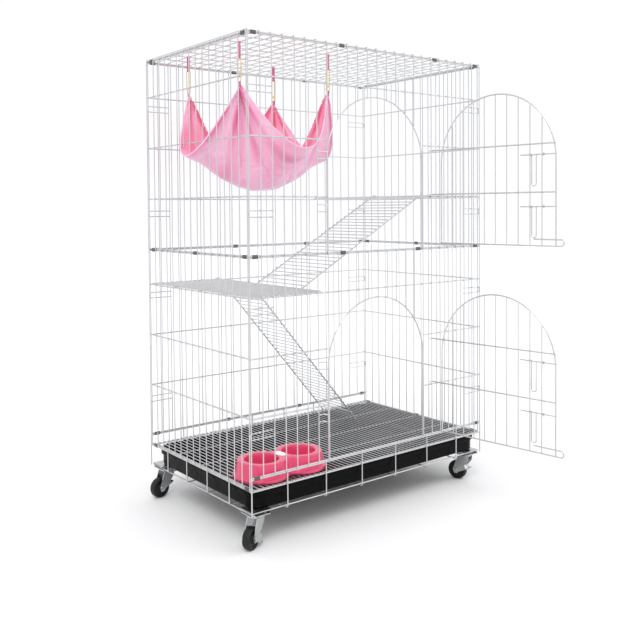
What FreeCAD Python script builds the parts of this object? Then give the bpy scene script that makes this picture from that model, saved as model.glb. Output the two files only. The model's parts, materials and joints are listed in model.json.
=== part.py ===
import FreeCAD, Part
import math
import os

from FreeCAD import Placement, Rotation, Vector

# Two-storey folding wire cage on casters. Millimetres, +Z up, X along the long side.
# The origin is on the floor, under the middle of the cage. The front, with both doors, faces -Y.
# The functions below draw from the basket's front left corner; FRAME moves each piece into place.

doc = FreeCAD.newDocument("wire_cage")

# ---------------------------------------------------------------- driving dimensions
SIZES = [
    ("cage_length", 740, "outer length, centre to centre of the corner wires"),
    ("cage_depth", 470, "outer depth, centre to centre of the corner wires"),
    ("storey_height", 476, "wall panel, bottom rail to top rail"),
    ("first_rail", 128, "bottom rail to the first inner rail of a wall"),
    ("rail_step", 130, "spacing of the inner rails"),
    ("long_gaps", 24, "gaps between upright wires on a long wall"),
    ("short_gaps", 15, "gaps between upright wires on a short wall"),
    ("wire_rad", 1.3, "upright and mesh wire"),
    ("rail_rad", 1.75, "rails, frames and door hinge wires"),
    ("base_wire_rad", 1.5, "basket wire"),
    ("stack_gap", 0.1, "clearance between stacked rails"),
    ("corner_inset", 7, "short wall's end upright, in from the long wall"),
    ("end_gap", 0.2, "clearance where a wire ends beside another"),
    ("ring_level", 53, "rail that carries the floor grid"),
    ("basket_height", 79, "top rail of the basket's long sides"),
    ("perimeter_inset", 8, "bottom perimeter wire, in from the corner wires"),
    ("basket_bend", 5, "bend of the basket wires at the bottom"),
    ("basket_end", 95, "corner to the first cross wire of the basket"),
    ("basket_cross", 6, "cross wires under the tray"),
    ("basket_long", 4, "long wires under the tray"),
    ("basket_long_pitch", 96, "spacing of the long wires"),
    ("floor_pitch_gaps", 56, "gaps of the fine floor wires"),
    ("floor_long_gaps", 4, "gaps of the long floor wires"),
    ("grid_inset", 9, "floor grid and shelf, in from the corner wires"),
    ("roof_long_gaps", 8, "gaps of the roof's long wires"),
    ("door_first", 7, "upright at the doorway's free side"),
    ("door_last", 17, "upright at the doorway's hinge side"),
    ("hinge_upright", 18, "upright that carries the door's eyes"),
    ("arch_level", 212, "doorway arch centre above the bottom rail"),
    ("door_overlap", 4, "door frame outside the doorway frame"),
    ("door_foot", 12, "door's bottom rail above the wall's"),
    ("door_rail_low", 135, "door's lower hinge wire above the wall's bottom rail"),
    ("door_rail_high", 246, "door's upper hinge wire above the wall's bottom rail"),
    ("eye_gap", 0.3, "clearance in the door's eyes and in front of the wall"),
    ("door_open", 97, "opening angle as stored"),
    ("pull_reach", 22, "door pull beyond the free side"),
    ("pull_rise", 15, "height of the pull's loop"),
    ("pull_back", 76, "upper leg of the pull's loop"),
    ("bolt_low", 90, "lower bolt above the door's bottom rail"),
    ("bolt_high", 210, "upper bolt above the door's bottom rail"),
    ("bolt_rad", 1.5, "bolt rod"),
    ("guide_rad", 1.1, "bolt guide wire"),
    ("bolt_length", 94, "bolt rod"),
    ("bolt_loop_width", 12, "finger loop between leg centres"),
    ("bolt_loop_drop", 72, "finger loop below the bolt"),
    ("bolt_loop_place", 60, "finger loop from the bolt's tip"),
    ("keeper_half", 8, "keeper's legs above and below the bolt"),
    ("keeper_place", 12, "keeper's front wire beyond the doorway upright"),
    ("keeper_gap", 0.4, "clearance behind the keeper's front wire"),
    ("hook_high_share", 0.245, "upper corner hook, share of the storey from its top"),
    ("hook_low_share", 0.81, "lower corner hook, share of the storey from its top"),
    ("hook_half", 7, "corner hook's legs above and below its middle"),
    ("clip_length", 14, "panel clip"),
    ("clip_wall", 0.8, "panel clip sheet"),
    ("clip_slit", 2.2, "open side of a panel clip"),
    ("shelf_width", 187, "platform, from its wall side to its free edge"),
    ("shelf_gaps", 14, "gaps of the fine platform wires"),
    ("shelf_cross_gaps", 4, "gaps of the platform's cross wires"),
    ("low_ramp_width", 150, "lower ramp, between rail centres"),
    ("low_ramp_side", 303, "lower ramp's front rail, from the front"),
    ("low_ramp_run", 362, "lower ramp, platform edge to foot along X"),
    ("high_ramp_width", 180, "upper ramp, between rail centres"),
    ("high_ramp_side", 23, "upper ramp's front rail, from the front"),
    ("high_ramp_run", 396, "upper ramp, platform edge to foot along X"),
    ("rung_pitch", 15, "spacing of the ramp rungs"),
    ("rest_gap", 0.3, "clearance under a piece that rests on wires"),
    ("tray_side_gap", 7, "corner wires to the tray's lip, front and back"),
    ("tray_left_gap", 8, "corner wires to the tray's lip, left"),
    ("tray_right_out", 4, "tray's lip beyond the right corner wires"),
    ("tray_top_gap", 1, "tray's lip to the rail above it"),
    ("tray_corner", 42, "tray's corner radius"),
    ("tray_wall", 2.5, "tray's wall and floor"),
    ("tray_lip", 5, "lip outside the tray's wall"),
    ("tray_lip_tall", 14, "lip"),
    ("bowl_lobe_rad", 62, "bowl lobe at its foot"),
    ("bowl_rim_rad", 56, "bowl lobe at its rim"),
    ("bowl_spacing", 104, "between the two lobes"),
    ("bowl_tall", 39, "bowl"),
    ("bowl_foot_out", 4, "foot flange outside the lobes and waist"),
    ("bowl_foot_tall", 8, "foot flange"),
    ("bowl_waist", 66, "width of the waist"),
    ("well_rim_rad", 41, "well at the rim"),
    ("well_floor_rad", 34, "well at its floor"),
    ("well_deep", 32, "well"),
    ("bowl_from_left", 128, "bowl's middle from the left corner"),
    ("bowl_from_front", 74, "bowl's middle from the front corner"),
    ("disc_long", 34, "oval inlay"),
    ("disc_wide", 20, "oval inlay"),
    ("disc_thick", 1.6, "oval inlay"),
    ("hammock_gap_a", 1.8, "left hammock hangers, in upright gaps from the left"),
    ("hammock_gap_b", 10.2, "right hammock hangers, in upright gaps from the left"),
    ("hammock_wire_a", 2, "front hangers' roof wire, counted from the front"),
    ("hammock_wire_b", 6, "back hangers' roof wire, counted from the front"),
    ("hammock_drop", 92, "roof wire to the cloth's corner"),
    ("hammock_sag", 236, "cloth's corner to its lowest point"),
    ("hammock_thick", 3, "cloth with its hem and filling"),
    ("strap_length", 34, "hanger strap, between its two bends"),
    ("strap_wide", 6, "hanger strap"),
    ("strap_thick", 1, "hanger strap"),
    ("ring_rad", 7, "hammock ring, to the middle of its wire"),
    ("ring_wire_rad", 1.1, "hammock ring and clasp wire"),
    ("clasp_half", 5, "clasp's legs from its middle"),
    ("wheel_rad", 25, "caster wheel"),
    ("wheel_wide", 18, "caster wheel"),
    ("axle_rad", 4, "caster axle"),
    ("running_gap", 0.1, "clearance of a turning fit"),
    ("caster_trail", 22, "axle behind the swivel axis"),
    ("caster_inset", 28, "swivel axis in from the corner wires"),
    ("plate_side", 50, "caster plate"),
    ("plate_thick", 2, "caster plate"),
    ("plate_top", -2.1, "top of the caster plate"),
    ("clamp_thick", 1.4, "clamp plate above the basket wires"),
    ("screw_rad", 2, "caster screw"),
    ("screw_spread", 15, "caster screws from the plate's middle"),
    ("screw_head_rad", 3.6, "caster screw head"),
    ("screw_head_tall", 2.2, "caster screw head"),
    ("kingpin_rad", 4, "swivel rivet"),
    ("race_rad", 15, "swivel bearing"),
    ("race_tall", 5, "swivel bearing"),
    ("fork_wall", 2, "caster fork sheet"),
    ("lever_wall", 1.2, "brake lever sheet"),
    ("lever_side_gap", 0.6, "clearance on each side of the brake lever's cheeks"),
    ("lever_reach", 28.2, "axle to the inner face of the lever's plate"),
    ("lever_tall", 22, "lever's plate"),
    ("lever_tab", 7, "lever's foot tab"),
    ("lever_up", 32, "lever's angle above the level, brake off"),
    ("lever_down", -12, "lever's angle above the level, brake on"),
    ("caster_height", 73, "floor to the underside of the caster plate"),
]

sheet = doc.addObject("Spreadsheet::Sheet", "sizes")
for row, (alias, value, note) in enumerate(SIZES, start=1):
    sheet.set(f"A{row}", alias)
    sheet.set(f"B{row}", str(value))
    sheet.set(f"C{row}", note)
    sheet.setAlias(f"B{row}", alias)
doc.recompute()


def val(alias):
    """The number that the sheet holds under this alias."""
    return float(sheet.get(alias))


# ---------------------------------------------------------------- shared levels and planes
LENGTH = val("cage_length")
DEPTH = val("cage_depth")
WIRE = val("wire_rad")
RAIL = val("rail_rad")
BASE_WIRE = val("base_wire_rad")
STACK = 2 * RAIL + val("stack_gap")
RAIL_PLANE = WIRE + RAIL
PITCH = LENGTH / val("long_gaps")
RING_LEVEL = val("ring_level")
SHORT_FOOT = RING_LEVEL + STACK
LOW_FOOT = val("basket_height") + STACK
LOW_TOP = LOW_FOOT + val("storey_height")
HIGH_FOOT = LOW_TOP + STACK
HIGH_TOP = HIGH_FOOT + val("storey_height")
ROOF_LEVEL = HIGH_TOP + STACK
WIRE_END = 1.5
HINGE_X = PITCH * val("hinge_upright")
EYE_RAD = WIRE + val("eye_gap") + RAIL
DOOR_FRAME_PLANE = -(EYE_RAD + 2 * RAIL)
DOOR_WIRE_PLANE = -(EYE_RAD + RAIL + WIRE)
BOLT_PLANE = DOOR_FRAME_PLANE - RAIL - val("eye_gap") - val("bolt_rad")
KEEPER_PLANE = BOLT_PLANE - val("bolt_rad") - val("keeper_gap") - WIRE
PLATE_FOOT = val("plate_top") - val("plate_thick")
FLOOR_LEVEL = PLATE_FOOT - val("caster_height")
AXLE_LEVEL = FLOOR_LEVEL + val("wheel_rad")

FRAME = Placement(Vector(-LENGTH / 2, -DEPTH / 2, -FLOOR_LEVEL), Rotation())


# ---------------------------------------------------------------- wire helpers
def rod(start, end, radius):
    """A straight round wire between two points."""
    start, end = Vector(*start), Vector(*end)
    return Part.makeCylinder(radius, (end - start).Length, start, end - start)


def bent_path(points, radius):
    """Straight runs joined by tangent arcs of one radius, as one Part.Wire."""
    points = [Vector(*p) for p in points]
    edges = []
    here = points[0]
    for before, corner, after in zip(points, points[1:], points[2:]):
        back = (before - corner).normalize()
        ahead = (after - corner).normalize()
        half = back.getAngle(ahead) / 2
        reach = radius / math.tan(half)
        middle = (back + ahead).normalize()
        centre = corner + middle * (radius / math.sin(half))
        first = corner + back * reach
        last = corner + ahead * reach
        edges.append(Part.LineSegment(here, first).toShape())
        edges.append(Part.Arc(first, centre - middle * radius, last).toShape())
        here = last
    edges.append(Part.LineSegment(here, points[-1]).toShape())
    return Part.Wire(edges)


def along(path, radius):
    """A round wire along a path."""
    first = path.OrderedEdges[0]
    start = first.valueAt(first.FirstParameter)
    heading = first.tangentAt(first.FirstParameter)
    if path.OrderedVertexes[0].Point.distanceToPoint(start) > 1e-6:
        start = first.valueAt(first.LastParameter)
        heading = first.tangentAt(first.LastParameter) * -1
    ring = Part.Wire([Part.Circle(start, heading, radius).toShape()])
    return path.makePipeShell([ring], True, True)


def bent_wire(points, bend, radius):
    return along(bent_path(points, bend), radius)


def arc_wire(centre, radius, start_deg, end_deg):
    """An arc in the XY plane of its centre, as an edge."""
    def at(degrees):
        turn = math.radians(degrees)
        return centre + Vector(radius * math.cos(turn), radius * math.sin(turn), 0)
    return Part.Arc(at(start_deg), at((start_deg + end_deg) / 2), at(end_deg)).toShape()


def spread(first, last, gaps):
    """Evenly spaced values from first to last."""
    gaps = round(gaps)
    return [first + (last - first) * i / gaps for i in range(gaps + 1)]


def part(label, shapes, place=None):
    """A sub-part of one or more solids that the wire helpers made."""
    feature = doc.addObject("Part::Feature", label)
    feature.Label = label
    feature.Shape = shapes[0] if len(shapes) == 1 else Part.makeCompound(shapes)
    feature.Placement = FRAME * (place or Placement())
    return feature


# ---------------------------------------------------------------- wall panels
def hairpin(near, far, middle, half, plane, radius):
    """A wire that runs out, turns back and returns, half above and half below its middle."""
    points = [(near, plane, middle + half), (far, plane, middle + half),
              (far, plane, middle - half), (near, plane, middle - half)]
    return bent_wire(points, half * 0.8, radius)


def corner_hooks(span, foot):
    """Four double wires at the ends of a long wall, which hold the next panel."""
    wires = []
    for share in (val("hook_high_share"), val("hook_low_share")):
        middle = foot + val("storey_height") * (1 - share)
        for near, far in ((2 * PITCH, -WIRE), (span - 2 * PITCH, span + WIRE)):
            wires.append(hairpin(near, far, middle, val("hook_half"), 2 * WIRE, WIRE))
    return wires


def inner_levels(foot):
    return [foot + val("first_rail") + i * val("rail_step") for i in range(3)]


def uprights(places, foot, top):
    return [rod((x, 0, foot - WIRE_END), (x, 0, top + WIRE_END), WIRE) for x in places]


def rails(levels, start, end):
    return [rod((start, RAIL_PLANE, z), (end, RAIL_PLANE, z), RAIL) for z in levels]


def long_wall(label, foot, place):
    top = foot + val("storey_height")
    wires = uprights(spread(0, LENGTH, val("long_gaps")), foot, top)
    wires += rails([foot, *inner_levels(foot), top], -WIRE, LENGTH + WIRE)
    wires += corner_hooks(LENGTH, foot)
    return part(label, wires, place)


def short_wall(label, foot, top, levels, place):
    span = DEPTH - 2 * val("corner_inset")
    reach = val("corner_inset") - RAIL_PLANE - RAIL - val("end_gap")
    wires = uprights(spread(0, span, val("short_gaps")), foot, top)
    wires += rails([foot, *levels, top], -reach, span + reach)
    return part(label, wires, place)


def keeper(foot, height):
    """Bent wire beside the doorway; its front wire stands before the extended bolt."""
    level = foot + val("door_foot") + height
    half = val("keeper_half")
    post = PITCH * (val("door_first") - 1)
    front = PITCH * val("door_first") - val("keeper_place")
    flat = -2 * WIRE
    points = [(post - 2, flat, level + half), (front - 9, flat, level + half),
              (front, KEEPER_PLANE, level + half), (front, KEEPER_PLANE, level - half),
              (front - 9, flat, level - half), (post - 2, flat, level - half)]
    return bent_wire(points, 2.6, WIRE)


def front_wall(label, foot):
    """Long wall with an arched doorway between two of its uprights."""
    top = foot + val("storey_height")
    first, last = round(val("door_first")), round(val("door_last"))
    left, right = PITCH * first, PITCH * last
    arch_rad = (right - left) / 2
    arch_x, arch_z = (left + right) / 2, foot + val("arch_level")
    wires = []
    for i, x in enumerate(spread(0, LENGTH, val("long_gaps"))):
        start = foot - WIRE_END
        if first < i < last:
            start = arch_z + math.sqrt(arch_rad ** 2 - (x - arch_x) ** 2)
        wires.append(rod((x, 0, start), (x, 0, top + WIRE_END), WIRE))
    low, middle, high = inner_levels(foot)
    wires += rails([foot, high, top], -WIRE, LENGTH + WIRE)
    wires += rails([low, middle], -WIRE, left - RAIL)
    wires += rails([low, middle], right + RAIL, LENGTH + WIRE)
    sill = foot + RAIL
    left_leg = Part.LineSegment(Vector(left, RAIL_PLANE, sill), Vector(left, RAIL_PLANE, arch_z))
    crown = Vector(arch_x, RAIL_PLANE, arch_z + arch_rad)
    arch = Part.Arc(Vector(left, RAIL_PLANE, arch_z), crown, Vector(right, RAIL_PLANE, arch_z))
    right_leg = Part.LineSegment(Vector(right, RAIL_PLANE, arch_z), Vector(right, RAIL_PLANE, sill))
    frame = Part.Wire([left_leg.toShape(), arch.toShape(), right_leg.toShape()])
    wires.append(along(frame, RAIL))
    wires += corner_hooks(LENGTH, foot)
    wires += [keeper(foot, val("bolt_low")), keeper(foot, val("bolt_high"))]
    return part(label, wires)


def wall_places():
    """Each wall is drawn along +X with its rails on +Y, then turned to its side."""
    inset = val("corner_inset")
    up = Vector(0, 0, 1)
    back = Placement(Vector(LENGTH, DEPTH, 0), Rotation(up, 180))
    left = Placement(Vector(0, DEPTH - inset, 0), Rotation(up, -90))
    right = Placement(Vector(LENGTH, inset, 0), Rotation(up, 90))
    return back, left, right


def make_walls():
    back, left, right = wall_places()
    for storey, foot in (("lower", LOW_FOOT), ("upper", HIGH_FOOT)):
        short_foot = SHORT_FOOT if storey == "lower" else HIGH_FOOT
        top = foot + val("storey_height")
        front_wall(f"{storey}_front_wall", foot)
        long_wall(f"{storey}_back_wall", foot, back)
        short_wall(f"{storey}_left_wall", short_foot, top, inner_levels(foot), left)
        short_wall(f"{storey}_right_wall", short_foot, top, inner_levels(foot), right)


# ---------------------------------------------------------------- basket, floor, roof
def make_base_frame():
    """Welded basket: cross wires turn up at front and back, long wires turn up at the left.

    The right end has no uprights, so that the tray slides out there.
    """
    outer = RAIL_PLANE - BASE_WIRE - RAIL
    bend = val("basket_bend")
    long_top = val("basket_height") + 1
    side_top = RING_LEVEL + 1
    wires = []
    for x in (outer, LENGTH - outer):
        for y in (outer, DEPTH - outer):
            wires.append(rod((x, y, 0), (x, y, long_top), BASE_WIRE))
    pitch = (LENGTH - 2 * val("basket_end")) / (val("basket_cross") - 1)
    for i in range(round(val("basket_cross"))):
        x = val("basket_end") + i * pitch
        points = [(x, outer, long_top), (x, outer, 0),
                  (x, DEPTH - outer, 0), (x, DEPTH - outer, long_top)]
        wires.append(bent_wire(points, bend, BASE_WIRE))
    half = val("basket_long_pitch") * (val("basket_long") - 1) / 2
    level = 2 * BASE_WIRE
    right = LENGTH - val("perimeter_inset")
    for y in spread(DEPTH / 2 - half, DEPTH / 2 + half, val("basket_long") - 1):
        points = [(outer, y, side_top), (outer, y, level), (right + RAIL, y, level)]
        wires.append(bent_wire(points, bend, BASE_WIRE))
    inset = val("perimeter_inset")
    for y in (inset, DEPTH - inset):
        z = BASE_WIRE + RAIL
        wires.append(rod((BASE_WIRE, y, z), (LENGTH - BASE_WIRE, y, z), RAIL))
    for x in (inset, LENGTH - inset):
        z = BASE_WIRE - RAIL
        wires.append(rod((x, BASE_WIRE, z), (x, DEPTH - BASE_WIRE, z), RAIL))
    for z in (RING_LEVEL, val("basket_height")):
        for y in (RAIL_PLANE, DEPTH - RAIL_PLANE):
            wires.append(rod((-WIRE, y, z), (LENGTH + WIRE, y, z), RAIL))
    side = RAIL_PLANE + RAIL + val("end_gap")
    for x in (RAIL_PLANE, LENGTH - RAIL_PLANE):
        wires.append(rod((x, side, RING_LEVEL), (x, DEPTH - side, RING_LEVEL), RAIL))
    return part("base_frame", wires)


def make_floor_grid():
    """Fine wires across the cage, on long wires, resting on the basket's ring."""
    inset = val("grid_inset")
    top = RING_LEVEL + RAIL + WIRE
    end = BASE_WIRE + val("end_gap")
    wires = [rod((x, end, top), (x, DEPTH - end, top), WIRE)
             for x in spread(inset, LENGTH - inset, val("floor_pitch_gaps"))]
    for y in spread(inset, DEPTH - inset, val("floor_long_gaps")):
        z = top - 2 * WIRE
        wires.append(rod((inset - WIRE, y, z), (LENGTH - inset + WIRE, y, z), WIRE))
    return part("floor_grid", wires)


def roof_long_wires():
    return spread(RAIL_PLANE, DEPTH - RAIL_PLANE, val("roof_long_gaps"))


def make_roof():
    side = RAIL_PLANE + RAIL + val("end_gap")
    lines = roof_long_wires()
    wires = []
    for y in lines:
        radius = RAIL if y in (lines[0], lines[-1]) else WIRE
        z = ROOF_LEVEL + RAIL - radius
        start = -WIRE if radius == RAIL else side + 1
        wires.append(rod((start, y, z), (LENGTH - start, y, z), radius))
    for x in (RAIL_PLANE, LENGTH - RAIL_PLANE):
        wires.append(rod((x, side, ROOF_LEVEL), (x, DEPTH - side, ROOF_LEVEL), RAIL))
    top = ROOF_LEVEL + RAIL + WIRE
    for x in spread(0, LENGTH, val("long_gaps")):
        wires.append(rod((x, 0, top), (x, DEPTH, top), WIRE))
    return part("roof_panel", wires)


# ---------------------------------------------------------------- doors and bolts
def door_place():
    return Placement(Vector(HINGE_X, 0, 0), Rotation(Vector(0, 0, 1), val("door_open")))


def door_sides():
    """The door frame's free and hinge sides, from the hinge axis, in the closed door."""
    free = PITCH * val("door_first") - val("door_overlap") - HINGE_X
    hinge = PITCH * val("door_last") + val("door_overlap") - HINGE_X
    return free, hinge


def hinge_wire(level):
    """A door wire whose end turns round the hinge upright as an eye."""
    free, _ = door_sides()
    run = Part.LineSegment(Vector(free - RAIL, -EYE_RAD, level), Vector(0, -EYE_RAD, level))
    eye = arc_wire(Vector(0, 0, level), EYE_RAD, -90, 150)
    return along(Part.Wire([run.toShape(), eye]), RAIL)


def bolt_guide(x, level):
    """A staple round the bolt, beside an upright of the door."""
    half = val("bolt_rad") + val("eye_gap") + val("guide_rad")
    front = BOLT_PLANE - half
    points = [(x, DOOR_WIRE_PLANE, level + half), (x, front, level + half),
              (x, front, level - half), (x, DOOR_WIRE_PLANE, level - half)]
    return bent_wire(points, half * 0.95, val("guide_rad"))


def make_door(label, foot):
    free, hinge = door_sides()
    bottom = foot + val("door_foot")
    arch_rad = (hinge - free) / 2
    arch_x, arch_z = (free + hinge) / 2, foot + val("arch_level")
    plane = DOOR_FRAME_PLANE
    legs = [Part.LineSegment(Vector(x, plane, a), Vector(x, plane, b)).toShape()
            for x, a, b in ((free, bottom, arch_z), (hinge, arch_z, bottom))]
    crown = Vector(arch_x, plane, arch_z + arch_rad)
    arch = Part.Arc(Vector(free, plane, arch_z), crown, Vector(hinge, plane, arch_z)).toShape()
    solids = [along(Part.Wire([legs[0], arch, legs[1]]), RAIL)]
    end = free - val("pull_reach")
    rise = bottom + val("pull_rise")
    points = [(hinge + RAIL, -EYE_RAD, bottom), (end, -EYE_RAD, bottom),
              (end, -EYE_RAD, rise), (end + val("pull_back"), -EYE_RAD, rise)]
    solids.append(bent_wire(points, val("pull_rise") * 0.48, RAIL))
    for height in (val("door_rail_low"), val("door_rail_high")):
        solids.append(hinge_wire(foot + height))
    for i in range(round(val("door_first")) + 1, round(val("door_last"))):
        x = PITCH * i - HINGE_X
        offset = abs(x - arch_x) + WIRE
        top = arch_z + math.sqrt((arch_rad - RAIL) ** 2 - offset ** 2) - val("end_gap")
        solids.append(rod((x, DOOR_WIRE_PLANE, bottom - WIRE_END), (x, DOOR_WIRE_PLANE, top), WIRE))
    beside = WIRE + val("guide_rad")
    near = PITCH * (val("door_first") + 1) - HINGE_X - beside
    far = PITCH * (val("door_first") + 2) - HINGE_X + beside
    for height in (val("bolt_low"), val("bolt_high")):
        solids += [bolt_guide(x, bottom + height) for x in (near, far)]
    return part(label, solids, door_place())


def make_bolt(label, foot, height):
    """Slide bolt of a door: a rod with a hanging finger loop, drawn back as stored."""
    free, _ = door_sides()
    level = foot + val("door_foot") + height
    tip = free - RAIL / 2
    shaft = rod((tip, BOLT_PLANE, level), (tip + val("bolt_length"), BOLT_PLANE, level),
                val("bolt_rad"))
    middle = tip + val("bolt_loop_place")
    half = val("bolt_loop_width") / 2
    plane = BOLT_PLANE - val("bolt_rad") - WIRE
    drop = level - val("bolt_loop_drop")
    points = [(middle - half, plane, level + 2), (middle - half, plane, drop),
              (middle + half, plane, drop), (middle + half, plane, level + 2)]
    return part(label, [shaft, bent_wire(points, half * 0.95, WIRE)], door_place())


def make_doors():
    for storey, foot in (("lower", LOW_FOOT), ("upper", HIGH_FOOT)):
        make_door(f"{storey}_door", foot)
        make_bolt(f"{storey}_door_top_bolt", foot, val("bolt_high"))
        make_bolt(f"{storey}_door_bottom_bolt", foot, val("bolt_low"))


# ---------------------------------------------------------------- panel clips
def racetrack(radius, length):
    """A bar along X round two stacked rails."""
    low = Part.makeCylinder(radius, length, Vector(-length / 2, 0, 0), Vector(1, 0, 0))
    high = low.translated(Vector(0, 0, STACK))
    web = Part.makeBox(length, 2 * radius, STACK, Vector(-length / 2, -radius, 0))
    return low.fuse(high).fuse(web).removeSplitter()


def clip_shape():
    """A C-shaped steel clip round two stacked rails, open towards the inside."""
    inner = RAIL + val("stack_gap")
    length, slit = val("clip_length"), val("clip_slit")
    body = racetrack(inner + val("clip_wall"), length).cut(racetrack(inner, length + 2))
    gap = Part.makeBox(length + 2, 10, slit, Vector(-length / 2 - 1, 0, (STACK - slit) / 2))
    return body.cut(gap)


def clip_row(level, gaps, side):
    """Clips on one side of the cage, centred in the given gaps between uprights."""
    turns = {"front": 0, "back": 180, "left": -90, "right": 90}
    inset = val("corner_inset")
    pitch = PITCH if side in ("front", "back") else (DEPTH - 2 * inset) / val("short_gaps")
    clips = []
    for gap in gaps:
        along_side = gap * pitch
        place = {
            "front": (along_side, RAIL_PLANE),
            "back": (along_side, DEPTH - RAIL_PLANE),
            "left": (RAIL_PLANE, inset + along_side),
            "right": (LENGTH - RAIL_PLANE, inset + along_side),
        }[side]
        clip = clip_shape()
        clip.rotate(Vector(0, 0, 0), Vector(0, 0, 1), turns[side])
        clip.translate(Vector(place[0], place[1], level))
        clips.append(clip)
    return clips


def make_clips():
    long_last = val("long_gaps") - 0.5
    short_last = val("short_gaps") - 0.5
    short_row = (0.5, (val("short_gaps")) / 2, short_last)
    basket = val("basket_height")
    base = clip_row(basket, (0.5, long_last), "front")
    base += clip_row(basket, (0.5, 7.5, 15.5, long_last), "back")
    base += clip_row(RING_LEVEL, (0.5, short_last), "left")
    base += clip_row(RING_LEVEL, short_row, "right")
    part("base_clips", base)
    middle = []
    for side in ("front", "back"):
        middle += clip_row(LOW_TOP, (0.5, 8.5, 16.5, long_last), side)
    for side in ("left", "right"):
        middle += clip_row(LOW_TOP, short_row, side)
    part("middle_clips", middle)
    roof = clip_row(HIGH_TOP, (0.5, 8.5, 18.5, long_last), "front")
    roof += clip_row(HIGH_TOP, (0.5, 8.5, 16.5, long_last), "back")
    for side in ("left", "right"):
        roof += clip_row(HIGH_TOP, (0.5, short_last), side)
    part("roof_clips", roof)


# ---------------------------------------------------------------- platforms and ramps
def shelf_edge(side):
    """Platform's free edge along X, for the platform at the left or right wall."""
    reach = val("grid_inset") + val("shelf_width")
    return reach if side == "left" else LENGTH - reach


def shelf_wire_level(foot, rail_index):
    return inner_levels(foot)[rail_index] + RAIL + WIRE


def edge_level(foot, rail_index):
    return inner_levels(foot)[rail_index] + 2 * RAIL


def make_platform(label, foot, rail_index, side):
    """Fine wires from front to back, lying on the rails of the two long walls."""
    top = shelf_wire_level(foot, rail_index)
    wall_side = val("grid_inset") if side == "left" else LENGTH - val("grid_inset")
    edge = shelf_edge(side)
    end = WIRE + val("end_gap")
    places = spread(wall_side, edge, val("shelf_gaps"))
    wires = [rod((x, end, top), (x, DEPTH - end, top), WIRE) for x in places[:-1]]
    level = edge_level(foot, rail_index)
    wires.append(rod((edge, end, level), (edge, DEPTH - end, level), RAIL))
    low, high = sorted((wall_side, edge))
    for y in spread(12, DEPTH - 12, val("shelf_cross_gaps")):
        z = top - 2 * WIRE
        wires.append(rod((low - WIRE, y, z), (high + WIRE, y, z), WIRE))
    return part(label, wires)


def ramp_rail(edge, foot, heading):
    """One ramp rail: it hooks over the platform's edge wire and runs down to its foot."""
    hook = 2 * RAIL + val("rest_gap")
    span = Vector(foot.x - edge.x, 0, foot.z - edge.z)
    slope = math.atan2(-span.z, abs(span.x))
    tilt = math.asin(hook / span.Length)
    angle = slope + tilt
    ahead = Vector(heading * math.cos(angle), 0, -math.sin(angle))
    out = Vector(heading * math.sin(angle), 0, math.cos(angle))
    start = edge + out * hook
    run = math.sqrt(span.Length ** 2 - hook ** 2)
    def on_hook(turn):
        spin = math.radians(turn)
        return edge + out * (hook * math.cos(spin)) - ahead * (hook * math.sin(spin))
    arc = Part.Arc(on_hook(160), on_hook(80), on_hook(0)).toShape()
    line = Part.LineSegment(start, start + ahead * run).toShape()
    return along(Part.Wire([arc, line]), RAIL), start, ahead, out, run


def make_ramp(label, edge_x, edge_z, foot_x, foot_z, side, width):
    heading = 1 if foot_x > edge_x else -1
    solids = []
    for y in (side, side + width):
        rail, start, ahead, out, run = ramp_rail(
            Vector(edge_x, y, edge_z), Vector(foot_x, y, foot_z), heading)
        solids.append(rail)
    count = int((run - 24) // val("rung_pitch"))
    for i in range(count + 1):
        middle = start + ahead * (14 + i * val("rung_pitch")) + out * (RAIL + WIRE)
        low = (middle.x, side - RAIL, middle.z)
        high = (middle.x, side + width + RAIL, middle.z)
        solids.append(rod(low, high, WIRE))
    return part(label, solids)


def make_shelves():
    make_platform("lower_platform", LOW_FOOT, 2, "left")
    make_platform("upper_platform", HIGH_FOOT, 0, "right")
    low_edge, high_edge = shelf_edge("left"), shelf_edge("right")
    floor_top = RING_LEVEL + RAIL + 2 * WIRE + val("rest_gap")
    shelf_top = shelf_wire_level(LOW_FOOT, 2) + WIRE + val("rest_gap")
    make_ramp("lower_ramp", low_edge, edge_level(LOW_FOOT, 2), low_edge + val("low_ramp_run"),
              floor_top + RAIL, val("low_ramp_side"), val("low_ramp_width"))
    make_ramp("upper_ramp", high_edge, edge_level(HIGH_FOOT, 0), high_edge - val("high_ramp_run"),
              shelf_top + RAIL, val("high_ramp_side"), val("high_ramp_width"))


# ---------------------------------------------------------------- hammock
def hammock_corners():
    lines = roof_long_wires()
    xs = [PITCH * val("hammock_gap_a"), PITCH * val("hammock_gap_b")]
    ys = [lines[round(val("hammock_wire_a"))], lines[round(val("hammock_wire_b"))]]
    return xs, ys


def roof_wire_level():
    return ROOF_LEVEL + RAIL - WIRE


def make_hammock():
    """Square cloth hung by its corners: a dished sheet of one thickness."""
    xs, ys = hammock_corners()
    half_x, half_y = (xs[1] - xs[0]) / 2, (ys[1] - ys[0]) / 2
    middle_x, middle_y = sum(xs) / 2, sum(ys) / 2
    corner = roof_wire_level() - val("hammock_drop")
    sag = val("hammock_sag")
    steps = [i / 2 - 1 for i in range(5)]
    grid = []
    for u in steps:
        row = []
        for v in steps:
            rise = 0.42 * (u * u + v * v) + 0.16 * u * u * v * v
            x = middle_x + half_x * u * (1 - 0.10 * (1 - v * v))
            y = middle_y + half_y * v * (1 - 0.10 * (1 - u * u))
            row.append(Vector(x, y, corner - sag * (1 - rise)))
        grid.append(row)
    surface = Part.BSplineSurface()
    surface.interpolate(grid)
    cloth = surface.toShape().extrude(Vector(0, 0, -val("hammock_thick")))
    if cloth.Volume < 0:
        cloth.reverse()
    part("hammock_cloth", [cloth])


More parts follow.
